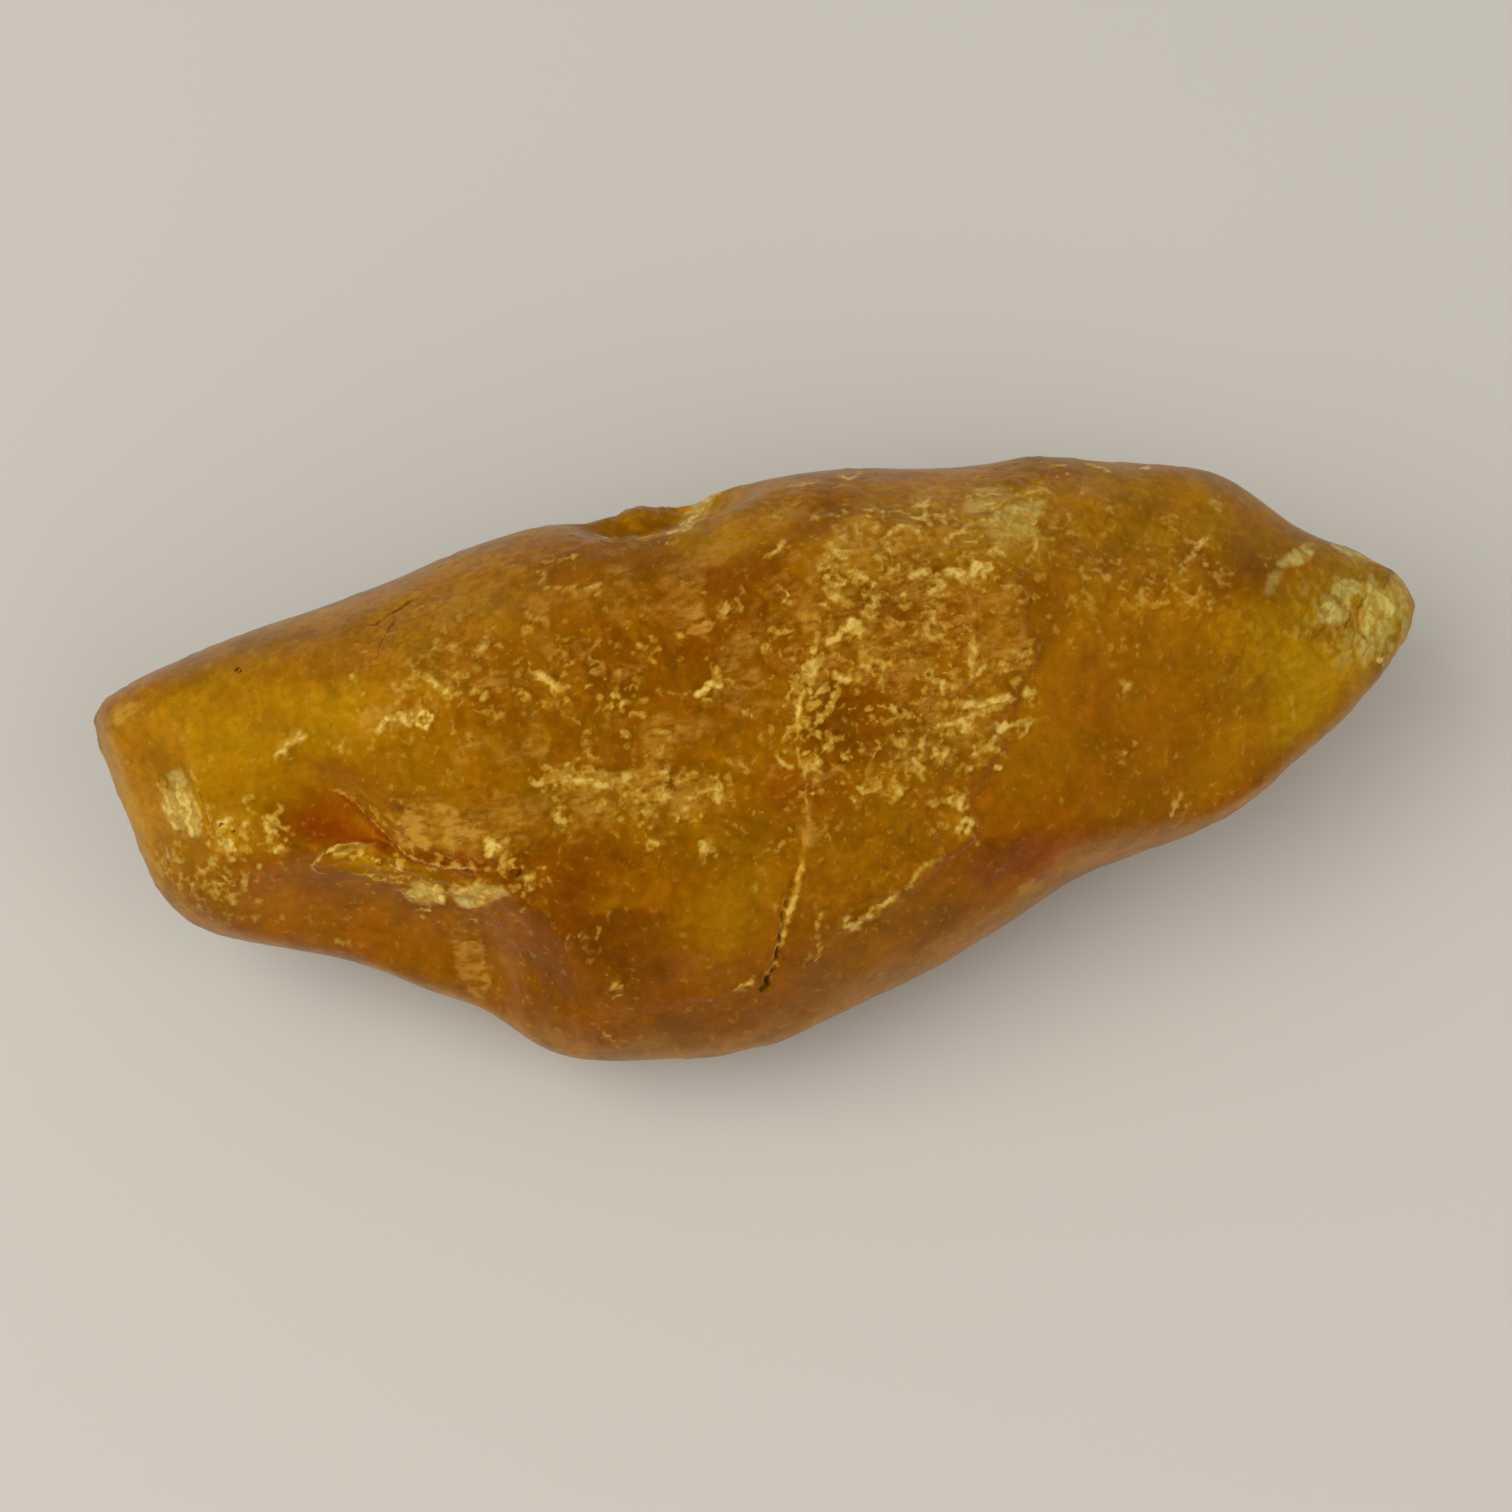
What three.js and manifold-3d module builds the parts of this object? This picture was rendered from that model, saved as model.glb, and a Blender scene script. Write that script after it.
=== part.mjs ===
// A raw amber nugget: one solid lump of fossil resin, lying on the worn flat of its underside.
//
// The lump is described about its girdle, the edge that runs all the way round between the crown (the broad
// upper side) and the base. Girdle coordinates are millimetres: "along" runs from the blunt end to the
// pointed end, "across" runs from the near edge to the far edge, and "up" stands square off the girdle.
// The girdle leans towards the near edge, so the last step tilts the lump and sets it on the ground.

import * as THREE from "three";
import { mergeVertices } from "three/addons/utils/BufferGeometryUtils.js";
import Module from "manifold-3d";

// Driving dimensions, in millimetres and degrees.
const GIRDLE_TILT = 20;
const SEAT_DEPTH = 9;
// How widely the ridges between slopes are rounded, and how squarely the rim turns down.
const SLOPE_BLEND = 1;
const RIM_FALL = 3.4;
// Divisions along each edge of the ball that the lump is drawn from.
const BALL_DETAIL = 17;

const AMBER = { colour: 0xc07a10, roughness: 0.35, metalness: 0 };

// The girdle, counterclockwise from the blunt end's upper corner: [along, across, up].
const GIRDLE = [
  // blunt end
  [-30.4, 5.4, 0.9], [-29.6, 2.5, 0.5], [-29, 0, 0.2], [-28.5, -2.3, -0.3],
  // lower lobe beside the blunt end, as far as the notch
  [-27.2, -4.1, -0.7], [-24, -5.5, -0.9], [-21, -6.6, -0.8], [-18.6, -7.8, -0.7],
  [-17, -8.9, -0.8], [-15.2, -9.8, -1],
  // belly
  [-14, -10.8, -1], [-12.8, -12.2, -0.8], [-11, -13.3, -0.6], [-7.8, -13.9, -0.3],
  [-3.6, -14.4, 0.1], [-1.4, -14.2, 0.2], [2.5, -13.2, 0], [7, -11.8, -0.3], [11, -10.2, -0.5],
  // waist and pointed end
  [13.5, -9.1, -0.4], [17, -8.4, 0], [20.5, -7.8, 0.5], [23, -6.7, 0.8], [25, -5.4, 0.9],
  [27, -4.4, 0.7], [28.5, -3.3, 0.5], [30.5, -1.7, 0.3], [32, 0.1, 0.2], [32.5, 1.3, 0.2],
  [31.7, 2.4, 0.3], [29.8, 3.9, 0.4], [27.6, 5, 0.5],
  // far edge, with its hump
  [26.3, 6.4, 0.3], [25, 8, 0], [23.2, 9.3, -0.4], [20, 10.1, -0.7], [16, 11.1, -0.6],
  [13, 10.9, -0.2], [9.5, 11.2, 0.3], [6, 11.7, 0.7], [1.4, 11.7, 0.9], [-3.5, 11, 0.7],
  [-8.5, 11.4, 0.3], [-12, 10.9, -0.1], [-15.5, 10.1, -0.3], [-18, 9.6, -0.3], [-22, 8.9, 0],
  [-25.2, 8.1, 0.5], [-27.7, 7.4, 0.8], [-29.7, 6.5, 1],
];

// The lump's broad slopes. Each is a plane: its height over the girdle's centre, and how that height changes
// for each millimetre along and across. The lowest plane at a place is the slope that shows there.
const CROWN_SLOPES = [
  { name: "plateau", height: 8.7, along: 0.02, across: 0.05 },
  { name: "far slope", height: 13.2, along: 0, across: -0.54 },
  { name: "blunt slope", height: 11.8, along: 0.18, across: -0.08 },
  { name: "near slope", height: 13, along: 0, across: 0.5 },
  { name: "pointed slope", height: 13, along: -0.3, across: 0 },
];
const BASE_SLOPES = [
  { name: "sole", height: 10.6, along: 0.02, across: 0.2 },
  { name: "back slope", height: 13.2, along: 0.04, across: -0.6 },
  { name: "blunt slope", height: 13.6, along: 0.3, across: 0.05 },
  { name: "pointed slope", height: 12.8, along: -0.3, across: 0.12 },
  { name: "near slope", height: 13.2, along: -0.06, across: 0.8 },
];

// Swellings of the crown: [along, across] and how far each reaches.
const SWELLINGS = [
  { name: "belly", at: [-6.5, -9], reach: [6.5, 4], height: 0.9 },
  { name: "crust", at: [6, 3], reach: [7, 5.5], height: 0.4 },
  { name: "blunt shoulder", at: [-26, 1], reach: [3, 3], height: 0.5 },
];

// Flat breaks: everything on the far side of a plane is gone. "at" is a place on the break, and "facing"
// is the way out of it.
const BREAKS = [
  { name: "pointed flank", at: [12, 2, 8.1], facing: [0.27, -0.3, 1] },
  { name: "tip's far face", at: [25, 5, 3.3], facing: [0.38, 0.4, 1] },
  { name: "blunt face", at: [-15, 4, 8.1], facing: [-0.3, 0.2, 1] },
  { name: "blunt end", at: [-29.3, 1.8, 0.4], facing: [-1, -0.19, 0.25] },
  { name: "back bevel", at: [3, 8.7, -5], facing: [0.1, 1, -0.75] },
  { name: "near bevel", at: [6, -10.4, -3.2], facing: [0.2, -0.9, -0.6] },
];

// Shell-shaped scars that flakes have left: a ball pulled to three radii, the last of them square to the
// skin, and sunk "depth" into it. "under" is a place inside the lump, and "facing" is the way out from there
// to the scar. Spin turns the scar about the way out, in degrees.
const SCARS = [
  { name: "lobe scar", under: [-20.5, -3, 0], facing: [-0.25, -0.9, 0.9], radii: [18, 12, 15], spin: -6,
    depth: 1.1 },
  { name: "notch valley", under: [-14, -7.2, 0], facing: [-0.25, -0.8, 1], radii: [7, 2.6, 4], spin: 84,
    depth: 1 },
  { name: "red hollow", under: [-19.4, -0.2, 0], facing: [-0.05, -0.1, 1], radii: [4.6, 2.2, 2.8],
    spin: -37, depth: 1.3 },
  { name: "far chip", under: [-2.8, 9.6, 0], facing: [0, 0.7, 1], radii: [6, 3.4, 4.4], spin: 2,
    depth: 0.7 },
  { name: "back flake", under: [-13, 2, -1], facing: [-0.25, 0.9, -0.6], radii: [22, 14, 16], spin: 12,
    depth: 1.5 },
  { name: "back hollow", under: [14, 2, -1], facing: [0.35, 1, -0.3], radii: [16, 10, 12], spin: -10,
    depth: 1.1 },
  { name: "near flake", under: [-12, -4, -1], facing: [-0.25, -0.8, -0.75], radii: [20, 12, 14], spin: -15,
    depth: 1.2 },
  { name: "tip flake", under: [19, 0, -1], facing: [0.35, -0.3, -1], radii: [18, 10, 13], spin: 20,
    depth: 1.2 },
  { name: "blunt flake", under: [-22, 2, -1], facing: [-0.55, 0.25, -1], radii: [14, 12, 13], spin: 0,
    depth: 1 },
];

const degrees = (value) => THREE.MathUtils.degToRad(value);

// The lowest of several slopes, with the ridge between two of them rounded off.
function slopeHeight(slopes, along, across) {
  const heights = slopes.map((slope) => slope.height + slope.along * along + slope.across * across);
  const total = heights.reduce((sum, height) => sum + Math.exp(-height / SLOPE_BLEND), 0);
  return -SLOPE_BLEND * Math.log(total);
}

function crownHeight(along, across) {
  const swollen = SWELLINGS.reduce((sum, { at, reach, height }) => {
    const spread = ((along - at[0]) / reach[0]) ** 2 + ((across - at[1]) / reach[1]) ** 2;
    return sum + height * Math.exp(-spread);
  }, 0);
  return slopeHeight(CROWN_SLOPES, along, across) + swollen;
}

// A place on the girdle, averaged with its neighbours so that the edge's small bends fade further in.
function rimPoint(girdle, turn, reach) {
  return girdle.getPointAt(turn)
    .add(girdle.getPointAt((turn + 1 - reach) % 1))
    .add(girdle.getPointAt((turn + reach) % 1))
    .divideScalar(3);
}

// An evenly divided ball whose equator is pulled out to the girdle, and whose two halves are raised to the
// crown's slopes and lowered to the base's. The rim rounds over where the two meet.
function lump() {
  const girdle = new THREE.CatmullRomCurve3(
    GIRDLE.map((point) => new THREE.Vector3(...point)), true, "centripetal");
  const ball = mergeVertices(new THREE.IcosahedronGeometry(1, BALL_DETAIL).deleteAttribute("uv")
    .deleteAttribute("normal"));
  const { position } = ball.attributes;
  for (let i = 0; i < position.count; i++) {
    const [x, y, z] = [position.getX(i), position.getY(i), position.getZ(i)];
    const share = Math.hypot(x, y);
    const turn = (Math.atan2(-y, -x) / (2 * Math.PI) + 1) % 1;
    const rim = rimPoint(girdle, turn, 0.05 * (1 - share));
    const [along, across] = [rim.x * share, rim.y * share];
    const fall = Math.sqrt(Math.max(0, 1 - share ** RIM_FALL));
    const height = z >= 0
      ? crownHeight(along, across)
      : -slopeHeight(BASE_SLOPES, along, across);
    position.setXYZ(i, along, across, rim.z * share ** 2 + height * fall);
  }
  return ball;
}

const wasm = await Module();
wasm.setup();

// A closed geometry as a manifold-3d solid.
function solid(geometry) {
  const bare = geometry.clone();
  bare.deleteAttribute("normal");
  bare.deleteAttribute("uv");
  const merged = mergeVertices(bare, 1e-4);
  return new wasm.Manifold(new wasm.Mesh({
    numProp: 3,
    vertProperties: new Float32Array(merged.attributes.position.array),
    triVerts: new Uint32Array(merged.index.array),
  }));
}

// A manifold-3d solid back as a geometry with flat-shaded faces.
function geometryOf(made) {
  const mesh = made.getMesh();
  const geometry = new THREE.BufferGeometry();
  geometry.setAttribute("position", new THREE.BufferAttribute(new Float32Array(mesh.vertProperties), 3));
  geometry.setIndex(new THREE.BufferAttribute(new Uint32Array(mesh.triVerts), 1));
  const flat = geometry.toNonIndexed();
  flat.computeVertexNormals();
  return flat;
}

// Turns the z axis to the way out of a break or a scar.
function uprightTo(outward) {
  return new THREE.Quaternion().setFromUnitVectors(new THREE.Vector3(0, 0, 1), outward);
}

// A block that takes away everything past a break.
function breakBlock({ at, facing }) {
  const side = 120;
  const outward = new THREE.Vector3(...facing).normalize();
  return new THREE.BoxGeometry(side, side, side).translate(0, 0, side / 2)
    .applyQuaternion(uprightTo(outward)).translate(...at);
}

// The ball that leaves one scar. A ray from outside finds the skin over the place the scar lies on.
function scarBall(surface, { under, facing, radii, spin, depth }) {
  const outward = new THREE.Vector3(...facing).normalize();
  const start = new THREE.Vector3(...under).addScaledVector(outward, 60);
  const ray = new THREE.Raycaster(start, outward.clone().negate());
  const skin = ray.intersectObject(surface)[0].point;
  const centre = skin.addScaledVector(outward, radii[2] - depth);
  const detail = Math.max(7, Math.round(0.6 * Math.max(...radii)));
  return new THREE.IcosahedronGeometry(1, detail).scale(...radii).rotateZ(degrees(spin))
    .applyQuaternion(uprightTo(outward)).translate(...centre);
}

// The lump tilted, cut flat where it rests, and centred over the flat's plane.
function seated(body) {
  const side = 100;
  const tilted = geometryOf(body).rotateX(degrees(GIRDLE_TILT)).translate(0, 0, SEAT_DEPTH);
  const ground = new THREE.BoxGeometry(side, side, side).translate(0, 0, -side / 2);
  const resting = geometryOf(solid(tilted).subtract(solid(ground)));
  resting.computeBoundingBox();
  const middle = resting.boundingBox.getCenter(new THREE.Vector3());
  return resting.translate(-middle.x, -middle.y, 0);
}

const broken = BREAKS.reduce((body, face) => body.subtract(solid(breakBlock(face))), solid(lump()));
const surface = new THREE.Mesh(geometryOf(broken));
const scarred = SCARS.reduce((body, scar) => body.subtract(solid(scarBall(surface, scar))), broken);

const material = new THREE.MeshStandardMaterial({
  color: AMBER.colour,
  roughness: AMBER.roughness,
  metalness: AMBER.metalness,
});
const amber = new THREE.Mesh(seated(scarred), material);
amber.name = "amber_nugget";

const part = new THREE.Group();
part.name = "raw_amber_piece";
part.add(amber);

export default part;
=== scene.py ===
# %% [markdown]
# # A raw amber nugget
# Amber is tree resin that hardened long ago. This nugget is 62 mm long. It is one lump of honey-coloured,
# half-clear resin, with a dry crust on top, a few old scars and cracks, and a worn flat that it lies on.
# The lesson takes the plain solid from the CAD model and works its skin up in steps, from broad swellings
# down to flecks a tenth of a millimetre wide. It then colours the skin, seals a few crumbs inside it, and
# sets a pale table and soft lamps around it.

import math
import random

import bpy
import numpy as np
from mathutils import Matrix, Vector, kdtree, noise


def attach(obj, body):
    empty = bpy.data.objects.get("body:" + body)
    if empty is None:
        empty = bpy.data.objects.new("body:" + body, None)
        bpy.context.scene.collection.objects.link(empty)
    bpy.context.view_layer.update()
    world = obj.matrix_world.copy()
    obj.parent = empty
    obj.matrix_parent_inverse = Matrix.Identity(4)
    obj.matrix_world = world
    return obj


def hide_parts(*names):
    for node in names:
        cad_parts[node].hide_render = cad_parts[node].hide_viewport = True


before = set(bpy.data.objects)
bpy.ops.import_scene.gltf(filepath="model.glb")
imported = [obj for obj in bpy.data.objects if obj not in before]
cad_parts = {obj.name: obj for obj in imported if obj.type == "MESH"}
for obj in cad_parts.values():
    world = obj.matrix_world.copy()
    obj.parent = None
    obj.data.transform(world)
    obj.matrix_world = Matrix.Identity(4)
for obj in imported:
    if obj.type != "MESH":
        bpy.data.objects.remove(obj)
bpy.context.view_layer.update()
MM = 0.001

# %% [markdown]
# ## The camera comes first
# The camera stands in front of the nugget and looks down at it steeply. Its place is worked out before the
# modelling, because the marks on the crown, which is the upper side, are placed as they look from here.
# A short turn to the left and a rise of 63 degrees show the whole crown almost square on.

# %% Place the camera
VIEW_TURN = math.radians(-11)
VIEW_RISE = math.radians(63)
FRAME_WIDTH = 70.2 * MM
LENS = 85
SENSOR = 36
MIDDLE_HEIGHT = 9.5 * MM
SHIFT_LEFT = 1.3 * MM
SHIFT_DOWN = 0.1 * MM
NEAR_CLIP = 0.001

view_back = Vector((
    math.sin(VIEW_TURN) * math.cos(VIEW_RISE),
    -math.cos(VIEW_TURN) * math.cos(VIEW_RISE),
    math.sin(VIEW_RISE),
))
view_right = Vector((math.cos(VIEW_TURN), math.sin(VIEW_TURN), 0))
view_up = view_back.cross(view_right)
view_target = Vector((0, 0, MIDDLE_HEIGHT)) - SHIFT_LEFT * view_right - SHIFT_DOWN * view_up
view_distance = FRAME_WIDTH * LENS / SENSOR
view_eye = view_target + view_distance * view_back

bpy.ops.object.select_all(action="DESELECT")
view_axes = Matrix((view_right, view_up, view_back)).transposed()
bpy.ops.object.camera_add(location=view_eye, rotation=view_axes.to_euler())
camera = bpy.context.active_object
camera.name = "camera"
camera.data.lens = LENS
camera.data.sensor_width = SENSOR
camera.data.clip_start = NEAR_CLIP
bpy.context.scene.camera = camera
print("camera stands", round(view_distance / MM), "mm from the nugget")

# %% [markdown]
# ## Tools for the skin
# The same few moves come back all the time: pick one object, apply a modifier, read where the skin is,
# paint a weight on it, and press the painted skin in or out. Each is a small function here. The modifiers
# are applied one by one, as by hand, so that each step can be seen and measured before the next.

# %% Pick an object and apply a modifier
def work_on(piece):
    """Selects one object alone and makes it the active one."""
    bpy.ops.object.select_all(action="DESELECT")
    piece.select_set(True)
    bpy.context.view_layer.objects.active = piece


def finish_with(piece, kind, **settings):
    """Adds a modifier of this kind, sets it up and applies it."""
    work_on(piece)
    modifier = piece.modifiers.new(kind.title(), kind)
    for name, value in settings.items():
        setattr(modifier, name, value)
    bpy.ops.object.modifier_apply(modifier=modifier.name)


# %% [markdown]
# Nature has few hard edges, so a soft step turns a distance into a weight. Cloudy noise breaks the weight
# up, because nature has few even ones either.

# %% Soft steps and cloudy noise
def smooth(value, low, high):
    """0 up to low, 1 from high on, and a soft step between."""
    step = np.clip((value - low) / (high - low), 0, 1)
    return step * step * (3 - 2 * step)


def grain(places, size, octaves=3, seed=0.0):
    """Cloudy noise of about -1 to 1 at each place, with lumps of this size in mm."""
    moved = places / size + seed
    return np.array([noise.fractal(p, 1.0, 2.0, octaves) for p in moved])


# %% [markdown]
# Every mark on the crown has a place along and across it, in millimetres. Both are measured as the camera
# sees them, on axes turned with the nugget's length: along runs from the blunt end to the point, and across
# runs from the near edge to the far one.

# %% Read the skin
MARK_TURN = math.radians(10)
MARK_ORIGIN = (-0.54, 0.77)


class Skin:
    """Where a piece's vertices are, which way they face, and where the marks' axes put them."""

    def __init__(self, piece):
        count = len(piece.data.vertices)
        self.places = np.empty(count * 3)
        piece.data.vertices.foreach_get("co", self.places)
        self.places = self.places.reshape(-1, 3) / MM
        self.normals = np.empty(count * 3)
        piece.data.vertex_normals.foreach_get("vector", self.normals)
        self.normals = self.normals.reshape(-1, 3)
        from_eye = self.places - np.array(view_eye) / MM
        depth = -from_eye @ np.array(view_back)
        flat_x = from_eye @ np.array(view_right) / depth * view_distance / MM - MARK_ORIGIN[0]
        flat_y = from_eye @ np.array(view_up) / depth * view_distance / MM - MARK_ORIGIN[1]
        self.along = flat_x * math.cos(MARK_TURN) + flat_y * math.sin(MARK_TURN)
        self.across = -flat_x * math.sin(MARK_TURN) + flat_y * math.cos(MARK_TURN)
        sight = -from_eye / np.linalg.norm(from_eye, axis=1)[:, None]
        self.facing = np.sum(self.normals * sight, axis=1)
        self.shown = smooth(self.facing, 0.0, 0.25)
        self.height = self.places[:, 2]


# %% [markdown]
# Cracks, ledges and lips are lines, and stains and films are oval patches. So two functions measure how far
# every bit of skin is from a line and from a patch, and soft steps of those distances shape every mark.

# %% Distances to lines and patches
def to_line(skin, points):
    """Each vertex's distance to a line, its side (left is positive), and its share of the way along."""
    nearest = np.full(len(skin.along), 1e9)
    side = np.zeros(len(skin.along))
    travel = np.zeros(len(skin.along))
    start = 0.0
    for (a0, b0), (a1, b1) in zip(points[:-1], points[1:]):
        length = math.hypot(a1 - a0, b1 - b0)
        da, db = (a1 - a0) / length, (b1 - b0) / length
        ahead = np.clip((skin.along - a0) * da + (skin.across - b0) * db, 0, length)
        gap = np.hypot(skin.along - a0 - ahead * da, skin.across - b0 - ahead * db)
        closer = gap < nearest
        nearest[closer] = gap[closer]
        side[closer] = np.sign(da * (skin.across - b0) - db * (skin.along - a0))[closer]
        travel[closer] = (start + ahead)[closer]
        start += length
    return nearest, side, travel / start


def to_patch(skin, centre, radii, turn=0):
    """0 at the middle of an oval patch, 1 at its rim, and more outside it."""
    angle = math.radians(turn)
    a = skin.along - centre[0]
    b = skin.across - centre[1]
    long_way = (a * math.cos(angle) + b * math.sin(angle)) / radii[0]
    short_way = (-a * math.sin(angle) + b * math.cos(angle)) / radii[1]
    return np.hypot(long_way, short_way)


# %% [markdown]
# Painting weights and letting a Displace modifier move the painted skin is what a hand does in Weight Paint
# mode. A weight that is worked out from distances does the same and can be repeated exactly.

# %% Press painted skin in or out
WEIGHT_STEPS = 200


def press(piece, name, weights, depth):
    """Paints a vertex group and moves the painted skin outwards by depth in mm, or inwards below 0."""
    group = piece.vertex_groups.new(name=name)
    levels = np.round(np.clip(weights, 0, 1) * WEIGHT_STEPS).astype(int)
    for level in np.unique(levels[levels > 0]):
        painted = np.flatnonzero(levels == level).tolist()
        group.add(painted, float(level) / WEIGHT_STEPS, "REPLACE")
    finish_with(piece, "DISPLACE", strength=depth * MM, mid_level=0.0, vertex_group=name)
    piece.vertex_groups.clear()


def cut_finer(piece, wanted):
    """Cuts every face whose corners are all wanted in half both ways."""
    wanted_faces = [bool(wanted[list(face.vertices)].all()) for face in piece.data.polygons]
    work_on(piece)
    bpy.context.tool_settings.mesh_select_mode = (False, False, True)
    bpy.ops.object.mode_set(mode="EDIT")
    bpy.ops.mesh.select_all(action="DESELECT")
    bpy.ops.object.mode_set(mode="OBJECT")
    piece.data.polygons.foreach_set("select", wanted_faces)
    bpy.ops.object.mode_set(mode="EDIT")
    bpy.ops.mesh.subdivide(number_cuts=1)
    bpy.ops.mesh.select_all(action="DESELECT")
    bpy.ops.object.mode_set(mode="OBJECT")


# %% [markdown]
# ## The lump
# The nugget's shape is in the CAD solid, but as flat facets. A copy of it is merged, because the packed
# mesh is loose triangles. Voxel remeshing gives the copy an even net of small squares, which bends well
# everywhere, and smoothing rubs the facets away as the sea and the sand did. Sculpting by hand on the
# facets would leave long thin triangles that show as creases.

# %% Copy the solid and rub its facets away
VOXEL = 0.5
RUBS = 10
WELD = 1e-6

nugget = bpy.data.objects.new("amber_lump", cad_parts["amber_nugget"].data.copy())
bpy.context.scene.collection.objects.link(nugget)
work_on(nugget)
bpy.ops.object.mode_set(mode="EDIT")
bpy.ops.mesh.select_all(action="SELECT")
bpy.ops.mesh.remove_doubles(threshold=WELD)
bpy.ops.object.mode_set(mode="OBJECT")
finish_with(nugget, "REMESH", mode="VOXEL", voxel_size=VOXEL * MM, use_smooth_shade=True)
finish_with(nugget, "SMOOTH", factor=0.5, iterations=RUBS)
print("even net:", len(nugget.data.polygons), "faces")

# %% [markdown]
# A worn lump isn't evenly round. Two cloudy textures push the skin in and out, one in swellings 6 mm across
# and one in dents of 2 mm. Close to the table they fade out, so that the flat stays flat, and on the
# outline they are weaker, so that it stays where the solid has it. The group that says so is called by its
# name in both steps, because a group that was picked up before a modifier is applied can be lost after it.

# %% Swellings and dents
def swell(piece, name, size, height, group):
    """Pushes the skin in and out by a cloudy texture with lumps of this size, both in mm."""
    clouds = bpy.data.textures.new(name, "CLOUDS")
    clouds.noise_scale = size * MM
    clouds.noise_depth = 2
    finish_with(piece, "DISPLACE", texture=clouds, texture_coords="LOCAL", strength=height * MM,
                mid_level=0.5, vertex_group=group)


ABOVE_TABLE = "above the table"
SWELLING_SIZE, SWELLING_HEIGHT = 6.0, 0.6
DENT_SIZE, DENT_HEIGHT = 1.9, 0.2

lump = Skin(nugget)
off_outline = 0.3 + 0.7 * smooth(np.abs(lump.facing), 0.15, 0.6)
weights = nugget.vertex_groups.new(name=ABOVE_TABLE)
for index, weight in enumerate(smooth(lump.height, 0.3, 2.0) * off_outline):
    weights.add([index], float(weight), "REPLACE")
swell(nugget, "swellings", SWELLING_SIZE, SWELLING_HEIGHT, ABOVE_TABLE)
swell(nugget, "dents", DENT_SIZE, DENT_HEIGHT, ABOVE_TABLE)
nugget.vertex_groups.clear()
print("box after swelling, in mm:", [round(d / MM, 2) for d in nugget.dimensions])

# %% [markdown]
# Fine work needs a fine net, and only the crown and the crust carry fine work. The crown is cut finer once,
# and the ovals below, where the crust, the ledge and the crackle are, a second time. The rest stays light.

# %% A finer net where the crust is
ON_CROWN = 0.02
DETAIL = (
    # centre, half length and half width, turn in degrees
    ((6, 1.0), (9.5, 10.0), 0),
    ((-14.5, -2.8), (6.5, 3.4), -12),
    ((-14, 5), (5, 2.6), 0),
    ((-5.5, 0.5), (5, 6.5), 0),
    ((-25, 0.2), (3.4, 3.2), 0),
    ((28.5, 1.2), (3.4, 3.4), 0),
    ((14, 7), (5, 4.5), 0),
    ((20.5, 4.5), (3, 2.5), 0),
    ((-2.5, 10.6), (4, 1.2), 0),
)
lump = Skin(nugget)
cut_finer(nugget, lump.shown > ON_CROWN)
lump = Skin(nugget)
fine = np.zeros(len(lump.along), bool)
for centre, radii, turn in DETAIL:
    fine |= to_patch(lump, centre, radii, turn) < 1
cut_finer(nugget, fine & (lump.shown > ON_CROWN))
finish_with(nugget, "SMOOTH", factor=0.5, iterations=3)
triangles = sum(len(face.vertices) - 2 for face in nugget.data.polygons)
print("fine net:", len(nugget.data.polygons), "faces,", triangles, "triangles")

# %% [markdown]
# ## Marks on the crown
# The crown carries marks that anyone who holds the nugget would point at: the lip of a red hollow, a ledge
# of thin splinters, a crack that runs to the near edge, a shelf and a scar on the far edge, and a dry crust
# that ends in a low step. They are placed one by one, each as a line or an oval patch in millimetres along
# and across. Their edges would look drawn if they were perfectly smooth, so the axes are shaken first.

# %% Shake the axes
SHAKES = (
    # size of the wobble, how far it reaches
    (1.6, 0.22),
    (0.55, 0.09),
)
lump = Skin(nugget)
straight_along = lump.along.copy()
straight_across = lump.across.copy()
for size, reach in SHAKES:
    lump.along += reach * grain(lump.places, size, 2, 11.3)
    lump.across += reach * grain(lump.places, size, 2, 47.9)
print("axes shaken by", round(float(np.abs(lump.along - straight_along).max()), 2), "mm at most")

# %% [markdown]
# The dry crust is a skin of weathered resin that stands a fifth of a millimetre above the bare resin. It
# covers the middle of the crown and ends on the right in a ragged step. Right of the step the resin is bare
# and smooth. The weight is high at the step and falls slowly behind it, so the crust needs no edge there.

# %% The crust's step
STEP_HEIGHT = 0.2
CRUST_EDGE = (
    (15.5, 11.5), (16.2, 9.2), (15.2, 7.2), (13.9, 5.6), (13.7, 3.6), (14.1, 2.0), (13.0, 0.4),
    (12.5, -1.0), (12.2, -2.2), (10.8, -3.2), (9.9, -4.4), (9.9, -6.0), (8.3, -7.0), (6.7, -7.9),
    (5.0, -8.9), (3.2, -9.5),
)
edge_gap, edge_side, edge_way = to_line(lump, CRUST_EDGE)
crust_ends = smooth(edge_way, 0.0, 0.12) * (1 - smooth(edge_way, 0.93, 1.0))
step = np.where(edge_side < 0, 1 - smooth(edge_gap, 0.0, 4.5), 1 - smooth(edge_gap, 0.0, 0.28))
ragged = 0.35 + 0.65 * smooth(grain(lump.places, 1.1, 3, 15.0), -0.2, 0.25)
press(nugget, "crust step", step * crust_ends * ragged * lump.shown, STEP_HEIGHT)
print("the crust ends along a step of", len(CRUST_EDGE), "points")

# %% [markdown]
# Left of the middle a flake broke out and left a red hollow. Its upper side is a thin lip with a second,
# fainter lip behind it. The lip is pressed out with a steep side towards the hollow and a long one away
# from it, and the floor below it is pressed in.

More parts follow.
